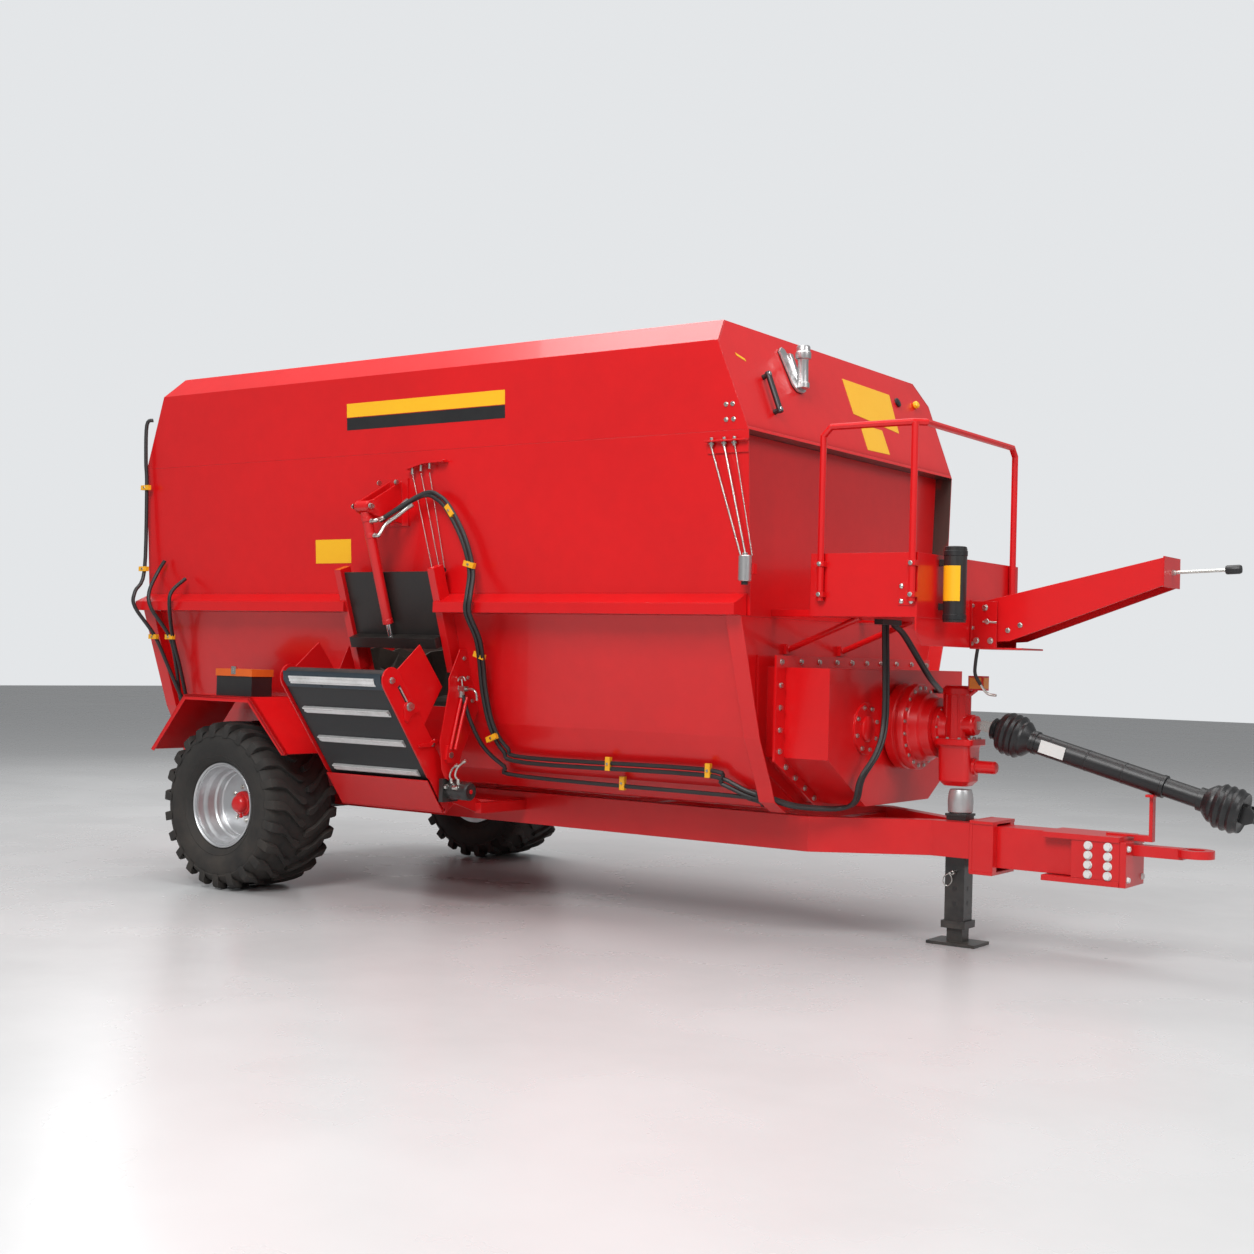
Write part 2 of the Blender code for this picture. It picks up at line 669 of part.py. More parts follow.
def make_gate():
    """Guide rails and header on the right wall, the sliding gate and its cylinder."""
    left = GATE_X - GATE_HALF
    right = GATE_X + GATE_HALF
    top_z = 1.800
    low_z = 1.270
    back = TUB_REAR + OVERHANG - PLATE_REACH
    front = TUB_FRONT - OVERHANG + PLATE_REACH
    guides = []
    for inner_x, out in ((left, -1), (right, 1)):
        ends = sorted((inner_x + out * GUIDE_PLAY, inner_x + out * GUIDE_WIDTH))
        guides.append(slab(ends, low_z, top_z, (0.0005, GATE_STAND + 0.035)))
    rail = [
        (-(RAIL_WALL_HALF + 0.008), RAIL_TOP_Z),
        (-RAIL_OUT_HALF, RAIL_EDGE_Z),
        (-RAIL_OUT_HALF, RAIL_LOW_Z),
        (-(RAIL_WALL_HALF + 0.008), RAIL_LOW_Z),
    ]
    rails = [flat(rail, "yz", back, left - 0.01), flat(rail, "yz", right + 0.01, front)]
    header = slab((left - GUIDE_WIDTH, right + GUIDE_WIDTH), 1.420, 1.440, (0.0005, GATE_STAND - 0.010))
    frame = fused(guides + rails + [header])
    finish(frame, "gate_frame", RED)
    plate = slab((left, right), 1.400, 1.400 + GATE_HEIGHT * math.cos(LEAN_ANGLE), (GATE_STAND, GATE_STAND + GATE_PLATE))
    angle = slab((left + 0.004, right - 0.004), 1.402, 1.455, (GATE_STAND + GATE_PLATE - BITE, GATE_STAND + 0.075))
    foot = on_wall(CYLINDER_X, 1.455, 0)
    stand = GATE_STAND + GATE_PLATE + CYLINDER_RADIUS + 0.006
    rod_low = on_wall(CYLINDER_X, 1.450, stand)
    rod_high = rod_low - DOWN * (ROD_SHOWS + GATE_TRAVEL + 0.05)
    stem = rod(rod_low + DOWN * 0.01, rod_high, ROD_RADIUS, 16)
    gate = fused([plate, angle, stem])
    finish(gate, "gate", BLACK, 0.5, pivot=foot)
    inner = rod_low - DOWN * ROD_SHOWS
    barrel = rod(inner, inner - DOWN * BARREL_LENGTH, CYLINDER_RADIUS, 20)
    hole = rod(inner + DOWN * 0.01, inner - DOWN * (GATE_TRAVEL + 0.08), ROD_RADIUS + 2 * GAP, 16)
    clevis_top = inner - DOWN * BARREL_LENGTH
    ears = box((CYLINDER_X - 0.10, CYLINDER_X + 0.10), (clevis_top.y - 0.02, -lean_at(clevis_top.z) + 0.0), (clevis_top.z - 0.03, clevis_top.z + 0.10))
    side_cut = flat([(-0.9, 1.9), (-(lean_at(1.9) + GAP), 1.9), (-(lean_at(BASE_Z) + GAP), BASE_Z), (-0.9, BASE_Z)], "yz", CYLINDER_X - 0.3, CYLINDER_X + 0.3)
    body = fused([barrel, ears])
    cut(body, [hole, side_cut])
    finish(body, "gate_cylinder", RED)


def belt_point(along, out, x=BELT_X):
    """A point on the conveyor: along its length from the lower shaft, and outwards from its middle."""
    up = Vector((0, -math.sin(BELT_TILT), math.cos(BELT_TILT)))
    face = Vector((0, -math.cos(BELT_TILT), -math.sin(BELT_TILT)))
    return Vector((x, BELT_PIVOT_Y, BELT_PIVOT_Z)) + up * along + face * out


def belt_slab(x, along, out):
    corners = [belt_point(a, o) for a, o in ((along[0], out[0]), (along[1], out[0]), (along[1], out[1]), (along[0], out[1]))]
    return flat([(corner.y, corner.z) for corner in corners], "yz", x[0], x[1])


def make_conveyor():
    """The belt with its slats, the side plates with their cross tubes, and the motor."""
    pivot = (BELT_X, BELT_PIVOT_Y, BELT_PIVOT_Z)
    half = BELT_HALF
    outer = BELT_ROLLER + 0.006
    loop = []
    for step in range(9):
        angle = math.pi * step / 8
        loop.append((BELT_LENGTH + outer * math.sin(angle), outer * math.cos(angle)))
    for step in range(9):
        angle = math.pi * step / 8
        loop.append((-outer * math.sin(angle), -outer * math.cos(angle)))
    points = [belt_point(along, out) for along, out in loop]
    belt = flat([(point.y, point.z) for point in points], "yz", BELT_X - half, BELT_X + half)
    slats = []
    for along in (0.10, 0.27, 0.44, 0.61):
        slats.append(belt_slab((BELT_X - half + 0.03, BELT_X + half - 0.03), (along, along + 0.035), (outer - BITE, outer + 0.022)))
        slats.append(belt_slab((BELT_X - half + 0.03, BELT_X + half - 0.03), (along - 0.06, along - 0.025), (-outer - 0.022, -outer + BITE)))
    edge = half + BELT_PLAY
    shafts = [
        rod(belt_point(along, 0, BELT_X - edge + GAP), belt_point(along, 0, BELT_X + edge - GAP), 0.018)
        for along in (0, BELT_LENGTH)
    ]
    finish(fused([belt] + slats + shafts), "conveyor_belt", BLACK, 0.7, pivot=pivot)
    plates = []
    for inner, out in ((BELT_X - edge, -1), (BELT_X + edge, 1)):
        ends = sorted((inner, inner + out * SIDE_PLATE))
        plates.append(belt_slab(ends, (-0.075, BELT_LENGTH + 0.055), (-0.075, 0.062)))
    low = belt_point(0, 0, 0)
    outside = edge + SIDE_PLATE
    pins = [
        rod((BELT_X + out * (outside - BITE), low.y, low.z), (BELT_X + out * (outside + EAR + 3 * GAP), low.y, low.z), STUB_RADIUS)
        for out in (1, -1)
    ]
    tray = belt_slab((BELT_X - edge - 0.004, BELT_X + edge + 0.004), (-0.110, -0.064), (-0.078, 0.060))
    ties = belt_slab((BELT_X - edge - 0.004, BELT_X + edge + 0.004), (-0.110, 0.04), (-0.115, -0.078))
    frame = fused(plates + [tray, ties] + pins)
    finish(frame, "conveyor_frame", RED, pivot=pivot)
    face = BELT_X + outside + EAR + 4 * GAP
    motor = fused([
        rod((face, low.y, low.z), (face + 0.16, low.y, low.z), 0.045),
        box((face, face + 0.025), (low.y - 0.06, low.y + 0.06), (low.z - 0.06, low.z + 0.06)),
    ])
    finish(motor, "conveyor_motor", BLACK, pivot=pivot)
    ears = []
    for out in (1, -1):
        x = sorted((BELT_X + out * (outside + GAP), BELT_X + out * (outside + GAP + EAR)))
        ears.append(flat([(low.y - 0.035, low.z + 0.035), (low.y + 0.035, low.z + 0.035), (-0.80, 0.565), (-0.80, 0.500), (low.y - 0.02, low.z - 0.045)], "yz", *x))
        inward = sorted((BELT_X + out * (outside + GAP), BELT_X + out * (outside + GAP + 0.05)))
        ears.append(box(inward, (-0.84, -(RAIL_Y + RAIL_WIDTH / 2) - GAP), (0.505, 0.560)))
    ears.append(box((BELT_X - outside - 0.03, BELT_X + outside + 0.03), (-0.60, -0.55), (0.510, 0.555)))
    bracket = fused(ears)
    bores = rod((BELT_X - outside - 0.1, low.y, low.z), (BELT_X + outside + 0.1, low.y, low.z), STUB_RADIUS + 2 * GAP)
    cut(bracket, [bores])
    finish(bracket, "conveyor_bracket", RED)


def make_mudguards():
    """Three-sided mudguards, the right one with the toolbox on top."""
    outer = [(-0.565, 0.750), (-0.290, GUARD_TOP_Z), (0.240, GUARD_TOP_Z), (0.535, 0.780)]
    for side, name in ((1, "left"), (-1, "right")):
        inner = inner_line(outer, GUARD_SHEET)
        sheet = flat(outer + list(reversed(inner)), "xz", side * GUARD_IN, side * GUARD_OUT)
        lip = flat(outer + [(0.51, 0.772), (0.232, GUARD_TOP_Z - 0.030), (-0.282, GUARD_TOP_Z - 0.030), (-0.54, 0.742)], "xz", side * (GUARD_OUT - 0.004), side * GUARD_OUT)
        struts = [
            box((x, x + 0.04), sorted((side * (lean_at(GUARD_TOP_Z - 0.02) + GAP), side * (GUARD_IN + 0.1))), (GUARD_TOP_Z - 0.035, GUARD_TOP_Z - GUARD_SHEET + 0.001))
            for x in (-0.20, 0.12)
        ]
        wall_cut = flat(
            [(side * 0.5, FACET_Z), (side * (FACET_HALF + GAP), FACET_Z), (side * (lean_at(1.3) + GAP), 1.3), (side * 0.5, 1.3)],
            "yz", -0.6, 0.6,
        )
        guard = fused([sheet, lip] + struts)
        cut(guard, [wall_cut])
        finish(guard, "mudguard_" + name, RED)
    base = GUARD_TOP_Z + GAP
    walls = box((BOX_REAR, BOX_FRONT), (-BOX_OUT, -BOX_IN), (base, base + BOX_HEIGHT))
    room = box((BOX_REAR + 0.003, BOX_FRONT - 0.003), (-BOX_OUT + 0.003, -BOX_IN - 0.003), (base + 0.003, base + BOX_HEIGHT + 0.01))
    cut(walls, [room])
    finish(walls, "toolbox", BLACK)
    low = base + BOX_HEIGHT + GAP
    over = 0.005
    lid = box((BOX_REAR - over, BOX_FRONT + over), (-BOX_OUT - over, -BOX_IN + over), (low, low + LID_HEIGHT))
    hollow = box((BOX_REAR + 0.004, BOX_FRONT - 0.004), (-BOX_OUT + 0.004, -BOX_IN - 0.004), (low - 0.01, low + LID_HEIGHT - 0.003))
    cut(lid, [hollow])
    finish(lid, "toolbox_lid", ORANGE, pivot=(0, -BOX_IN + LID_HINGE, low))


def make_drive():
    """Gear housing on the front plate, planetary gearbox, input gearbox and the driveshaft."""
    front_face = TUB_FRONT - OVERHANG + WALL + GAP
    half = [(0.830, 1.375), (0.830, 0.880), (0.400, 0.640)]
    base = flat(mirrored(half), "yz", front_face, front_face + 0.012)
    shape = [(0.740, 1.320), (0.740, 0.894), (0.350, 0.660)]
    case = flat(mirrored(shape), "yz", front_face + 0.010, HOUSING_FRONT)
    covers = [rod((HOUSING_FRONT - BITE, side * 0.376, AUGER_Z + 0.015), (HOUSING_FRONT + 0.012, side * 0.376, AUGER_Z + 0.015), 0.125, 32) for side in (1, -1)]
    finish(fused([base, case] + covers), "gear_housing", RED)
    start = HOUSING_FRONT + GAP
    drum = turned(
        [(0, DRUM_FRONT - start), (0.150, DRUM_FRONT - start), (0.170, DRUM_FRONT - start - 0.03), (0.213, DRUM_FRONT - start - 0.05), (0.213, 0), (0, 0)],
        (start, 0, DRIVE_Z), (1, 0, 0), 36,
    )
    finish(drum, "planetary_gearbox", RED)
    face = DRUM_FRONT + GAP
    upper = box((face, face + 0.20), (-0.10, 0.10), (0.98, 1.257))
    flange = box((face, face + 0.215), (-0.125, 0.125), (0.965, 0.995))
    lower = box((face, face + 0.19), (-0.09, 0.09), (0.765, 0.98))
    stub = rod((face + 0.1, 0, 0.862), (face + 0.31, 0, 0.862), 0.025)
    start_point = Vector((SHAFT_X, 0, SHAFT_Z))
    end_point = Vector((SHAFT_END_X, 0, SHAFT_END_Z))
    along = (end_point - start_point).normalized()
    across = Vector((-along.z, 0, along.x))
    length = (end_point - start_point).length
    nose = rod((face + 0.1, 0, SHAFT_Z), (SHAFT_X - 0.045, 0, SHAFT_Z), 0.030)
    tongue = box((SHAFT_X - 0.055, SHAFT_X), (-TONGUE_HALF, TONGUE_HALF), (SHAFT_Z - 0.020, SHAFT_Z + 0.020))
    boss = rod((SHAFT_X, -TONGUE_HALF, SHAFT_Z), (SHAFT_X, TONGUE_HALF, SHAFT_Z), 0.026, 24)
    body = fused([upper, flange, lower, stub, nose, tongue, boss])
    bore = rod((SHAFT_X, -TONGUE_HALF - 0.01, SHAFT_Z), (SHAFT_X, TONGUE_HALF + 0.01, SHAFT_Z), CROSS_PIN + PIN_PLAY, 24)
    finish(cut(body, [bore]), "input_gearbox", RED)
    bell = 0.070
    guard = turned(
        [
            (0, length), (0.030, length), (0.030, length - 0.06), (0.072, length - 0.06), (0.060, length - 0.20),
            (SHAFT_RADIUS - 0.006, length - 0.235), (SHAFT_RADIUS - 0.006, length - 0.42), (SHAFT_RADIUS, length - 0.425),
            (SHAFT_RADIUS, 0.27), (0.060, 0.24), (bell, 0.08), (0.035, 0.07), (0.035, 0.036), (0, 0.036),
        ],
        start_point, along, 28,
    )
    ears = []
    for side in (1, -1):
        corners = [(-0.020, -0.014), (-0.012, -0.024), (0.045, -0.024), (0.045, 0.024), (-0.012, 0.024), (-0.020, 0.014)]
        outline = [(start_point + a * along + b * across) for a, b in corners]
        near = side * (TONGUE_HALF + PIN_PLAY)
        far = side * 0.030
        ears.append(flat([(q.x, q.z) for q in outline], "xz", min(near, far), max(near, far)))
    pin = rod((SHAFT_X, -0.029, SHAFT_Z), (SHAFT_X, 0.029, SHAFT_Z), CROSS_PIN, 24)
    finish(fused([guard, pin] + ears), "driveshaft", BLACK, 0.5, pivot=start_point)
    post_x = 4.770
    post_top = SHAFT_Z + (post_x + 0.018 - SHAFT_X) * along.z / along.x - SHAFT_RADIUS / along.x - GAP
    post = fused([
        box((post_x - 0.018, post_x + 0.018), (-0.05, 0.05), (post_top - 0.012, post_top)),
        box((post_x - 0.008, post_x + 0.008), (-0.02, 0.02), (0.572, post_top - 0.006)),
        box((DRAWBAR_FRONT + 0.03 + 2 * GAP, post_x + 0.008), (-0.02, 0.02), (0.572, 0.60)),
        box((DRAWBAR_FRONT - 0.10, DRAWBAR_FRONT + 0.05), (-0.02, 0.02), (FRAME_TOP_Z - 0.01 + GAP, 0.60)),
    ])
    finish(post, "shaft_post", BLACK)


def make_platform():
    """Floor and panels of the platform, its handrail, the manual holder and the arm with its seat."""
    right, left = PLATFORM_RIGHT, PLATFORM_LEFT
    back, front = PLATFORM_BACK, PLATFORM_FRONT
    wall = 0.004
    top = PLATFORM_TOP_Z
    outer = box((back, front), (right, left), (PLATFORM_Z, top))
    room = box((back - 0.01, front - wall), (right + wall, left - wall), (PLATFORM_Z + wall, top + 0.01))
    cut(outer, [room])
    wall_x = TUB_FRONT - OVERHANG + WALL + GAP
    brackets = [box((wall_x, back + 0.03), (y, y + 0.05), (PLATFORM_Z, PLATFORM_Z + wall + 0.03)) for y in (-0.70, 0.20)]
    floor = fused([as_mesh(outer)] + brackets)
    finish(floor, "platform", RED)
    inset = 0.022
    near = right - HANDRAIL_RADIUS - GAP
    fore = front + HANDRAIL_RADIUS + GAP
    rail = fused([
        tube([(back + 0.06, near, top - 0.22), (back + 0.06, near, HANDRAIL_Z - 0.04), (back + 0.10, near, HANDRAIL_Z),
              (front - 0.03, near, HANDRAIL_Z), (fore, near + 0.04, HANDRAIL_Z), (fore, 0.20, HANDRAIL_Z),
              (fore, 0.24, HANDRAIL_Z - 0.04), (fore, 0.24, top - 0.22)], HANDRAIL_RADIUS),
        tube([(front - 0.02, near, HANDRAIL_Z - 0.002), (front - 0.02, near, top - 0.22)], HANDRAIL_RADIUS),
    ])
    finish(rail, "handrail", RED)
    holder_x = fore + 0.055 + inset * 0
    holder = rod((holder_x, -0.56, 1.545), (holder_x, -0.56, 1.880), 0.052, 28)
    grips = [box((front + GAP, holder_x), (-0.58, -0.54), (z, z + 0.03)) for z in (1.60, 1.80)]
    finish(fused([holder] + grips), "manual_holder", BLACK)
    seat_x = front + GAP
    y = ARM_RIGHT
    cheek = 0.006
    seat = fused([
        box((seat_x, seat_x + 0.008), (y - 0.02, y + ARM_WIDTH + 0.02), (1.43, 1.66)),
        box((seat_x, seat_x + 0.26), (y - 0.02, y + ARM_WIDTH + 0.02), (1.43, 1.438)),
        box((seat_x, ARM_PIVOT_X + 0.06), (y - 0.006 - cheek, y - 0.006), (1.43, 1.655)),
        box((seat_x, ARM_PIVOT_X + 0.06), (y + ARM_WIDTH + 0.006, y + ARM_WIDTH + 0.006 + cheek), (1.43, 1.655)),
    ])
    pin = rod((ARM_PIVOT_X, y - 0.010, ARM_PIVOT_Z), (ARM_PIVOT_X, y + ARM_WIDTH + 0.010, ARM_PIVOT_Z), ARM_PIN, 20)
    boolean(seat, [pin], "UNION")
    finish(seat, "arm_seat", RED)
    pivot = (ARM_PIVOT_X, y + ARM_WIDTH / 2, ARM_PIVOT_Z)
    side = [
        (ARM_X + 0.01, 1.652), (ARM_X + ARM_LENGTH, 1.652 + ARM_RISE), (ARM_X + ARM_LENGTH, 1.727),
        (ARM_X + 0.16, 1.470), (ARM_X + 0.012, 1.460),
    ]
    body = flat(side, "xz", y, y + ARM_WIDTH)
    under = [(px, pz - 0.005) for px, pz in side[:2]] + [(ARM_X + ARM_LENGTH - 0.006, 1.6), (ARM_X + 0.06, 1.3), (ARM_X, 1.3)]
    hollow = flat([(px - (0.006 if px > 4.5 else -0.0), pz) for px, pz in under], "xz", y + 0.005, y + ARM_WIDTH - 0.005)
    eye = rod((ARM_PIVOT_X, y - 0.010, ARM_PIVOT_Z), (ARM_PIVOT_X, y + ARM_WIDTH + 0.010, ARM_PIVOT_Z), ARM_PIN + 2 * GAP, 20)
    cut(body, [hollow, eye])
    finish(body, "arm", RED, pivot=pivot)


def settle():
    """Moves the machine so that its box stands centred on the origin."""
    bpy.context.view_layer.update()
    graph = bpy.context.evaluated_depsgraph_get()
    low = Vector((1e9, 1e9, 1e9))
    high = -low
    for obj in machine.objects:
        shape = obj.evaluated_get(graph)
        for corner in shape.bound_box:
            place = obj.matrix_world @ Vector(corner)
            low = Vector(map(min, low, place))
            high = Vector(map(max, high, place))
    shift = Vector((-(low.x + high.x) / 2, -(low.y + high.y) / 2, -low.z))
    for obj in list(machine.objects) + list(helpers.all_objects):
        obj.location += shift
    return shift


for side_sign, side_name in ((1, "left"), (-1, "right")):
    make_wheel(side_sign, side_name)
make_chassis()
make_drawbar()
make_trough()
make_walls()
make_extension()
make_augers()
make_gate()
make_conveyor()
make_mudguards()
make_drive()
make_platform()
SHIFT = settle()
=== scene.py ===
"""The looks of a trailed feed mixer wagon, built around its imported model.

Places are given from the middle of the axle, on the ground: X forward to the drawbar, Y to the
left, Z up. The frame's own tyres say where that point lies.
"""

from __future__ import annotations

import logging
import math
from dataclasses import dataclass, replace
from enum import Enum

import bmesh
import bpy
from mathutils import Matrix, Vector


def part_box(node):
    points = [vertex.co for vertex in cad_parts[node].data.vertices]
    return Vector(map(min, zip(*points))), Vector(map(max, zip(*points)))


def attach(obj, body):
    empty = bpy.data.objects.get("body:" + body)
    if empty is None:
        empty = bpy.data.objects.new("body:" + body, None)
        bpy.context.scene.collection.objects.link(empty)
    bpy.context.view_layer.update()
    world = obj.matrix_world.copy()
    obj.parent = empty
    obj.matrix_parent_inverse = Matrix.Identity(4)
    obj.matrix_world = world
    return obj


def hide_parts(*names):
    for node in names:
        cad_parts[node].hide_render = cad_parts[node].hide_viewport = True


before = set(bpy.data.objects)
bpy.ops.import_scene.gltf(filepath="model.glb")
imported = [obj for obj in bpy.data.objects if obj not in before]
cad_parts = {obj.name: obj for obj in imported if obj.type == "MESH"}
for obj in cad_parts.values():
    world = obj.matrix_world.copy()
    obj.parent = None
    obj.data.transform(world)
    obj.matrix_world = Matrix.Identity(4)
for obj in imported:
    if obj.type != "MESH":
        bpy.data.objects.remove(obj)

Colour = tuple[float, float, float]
Place = tuple[float, float, float] | Vector
Profile = list[tuple[float, float]]
AHEAD, LEFT, RIGHT, UP = (1, 0, 0), (0, 1, 0), (0, -1, 0), (0, 0, 1)
TUB_MIDDLE = (1.145, 0.0, 1.6)
TUB_SHARES = (0.3, 1.0, 1.0)
COAT_ROUGHNESS = 0.06
THINNEST = 0.0004
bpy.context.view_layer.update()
LOG = logging.getLogger("feed_mixer_wagon")


def axle_middle() -> Vector:
    """The point on the ground under the middle of the axle, from the two tyres."""
    low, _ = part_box("tyre_right")
    _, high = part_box("tyre_left")
    middle = (low + high) / 2
    return Vector((middle.x, middle.y, 0))


ORIGIN = axle_middle()


def at(x: float, y: float, z: float) -> Vector:
    """A point of the machine, given from the middle of the axle, in the frame's own place."""
    return ORIGIN + Vector((x, y, z))


class Slot(Enum):
    """Material slot names."""

    RED = "red_paint"
    BLACK = "black_paint"
    TYRE = "tyre_rubber"
    RIM = "rim_silver"
    LID = "lid_orange"
    BELT = "belt_rubber"
    GUARD = "guard_plastic"
    STEEL = "worn_steel"


class Tree:
    """A node tree with short calls to add and wire its nodes."""

    def __init__(self, tree: bpy.types.NodeTree) -> None:
        """Keeps the tree that the calls write to."""
        self.tree = tree

    def add(self, kind: str, **values: object) -> bpy.types.Node:
        """Adds a node.

        Args:
            kind: The node's type, such as ShaderNodeMix.
            values: Properties of the node, or values of its inputs by name, spaces as underscores.

        Returns:
            The new node.
        """
        node = self.tree.nodes.new(kind)
        for key, value in values.items():
            if hasattr(node, key):
                setattr(node, key, value)
        for key, value in values.items():
            if not hasattr(node, key):
                self.feed(node, key.replace("_", " "), value)
        return node

    def feed(self, node: bpy.types.Node, name: str, value: object) -> None:
        """Sets a node's input, or wires an output to it.

        Args:
            node: The node that is fed.
            name: The input's name, or its number as text.
            value: A constant or an output socket.
        """
        if name.isdigit():
            socket = node.inputs[int(name)]
        else:
            socket = next(s for s in node.inputs if s.name.lower() == name.lower() and s.enabled)
        if isinstance(value, bpy.types.NodeSocket):
            self.tree.links.new(value, socket)
        else:
            socket.default_value = value

    def numbered(self, kind: str, feeds: dict[int, object], **values: object) -> bpy.types.Node:
        """Adds a node whose inputs are fed by their numbers."""
        node = self.add(kind, **values)
        for number, value in feeds.items():
            self.feed(node, str(number), value)
        return node

    def maths(self, operation: str, first: object, second: object, clamp: bool = False) -> bpy.types.NodeSocket:
        """The result of one sum on two values or sockets."""
        feeds = {0: first, 1: second}
        return self.numbered("ShaderNodeMath", feeds, operation=operation, use_clamp=clamp).outputs[0]

    def vectors(self, operation: str, first: object, second: object) -> bpy.types.Node:
        """One sum on two vectors."""
        return self.numbered("ShaderNodeVectorMath", {0: first, 1: second}, operation=operation)

    def split(self, vector: object) -> bpy.types.bpy_prop_collection:
        """The X, Y and Z of a vector."""
        return self.numbered("ShaderNodeSeparateXYZ", {0: vector}).outputs

    def mix(self, share: object, first: object, second: object) -> bpy.types.NodeSocket:
        """A colour between two colours, by a share from 0 to 1."""
        return self.numbered("ShaderNodeMix", {0: share, 6: first, 7: second}, data_type="RGBA").outputs[2]

    def ramp(self, value: object, low: float, high: float) -> bpy.types.NodeSocket:
        """The value spread so that low becomes 0 and high becomes 1."""
        node = self.add("ShaderNodeMapRange", From_Min=low, From_Max=high)
        self.feed(node, "0", value)
        return node.outputs[0]

    def noise(self, place: object, scale: object, detail: float = 4.0, rough: float = 0.5) -> bpy.types.NodeSocket:
        """A soft random value over the surface."""
        return self.add("ShaderNodeTexNoise", Vector=place, Scale=scale, Detail=detail, Roughness=rough).outputs[0]


def group(name: str, inputs: dict[str, tuple[str, float]], outputs: dict[str, str]) -> tuple[Tree, dict, dict]:
    """Starts a shader node group.

    Args:
        name: The group's name.
        inputs: For each input its socket type and its value.
        outputs: For each output its socket type.

    Returns:
        The tree, its input sockets by name and its output node's sockets by name.
    """
    tree = bpy.data.node_groups.new(name, "ShaderNodeTree")
    for key, (kind, value) in inputs.items():
        socket = tree.interface.new_socket(key, in_out="INPUT", socket_type="NodeSocket" + kind)
        if kind == "Float":
            socket.default_value = value
    for key, kind in outputs.items():
        tree.interface.new_socket(key, in_out="OUTPUT", socket_type="NodeSocket" + kind)
    start = tree.nodes.new("NodeGroupInput")
    end = tree.nodes.new("NodeGroupOutput")
    return Tree(tree), {s.name: s for s in start.outputs}, {s.name: s for s in end.inputs}


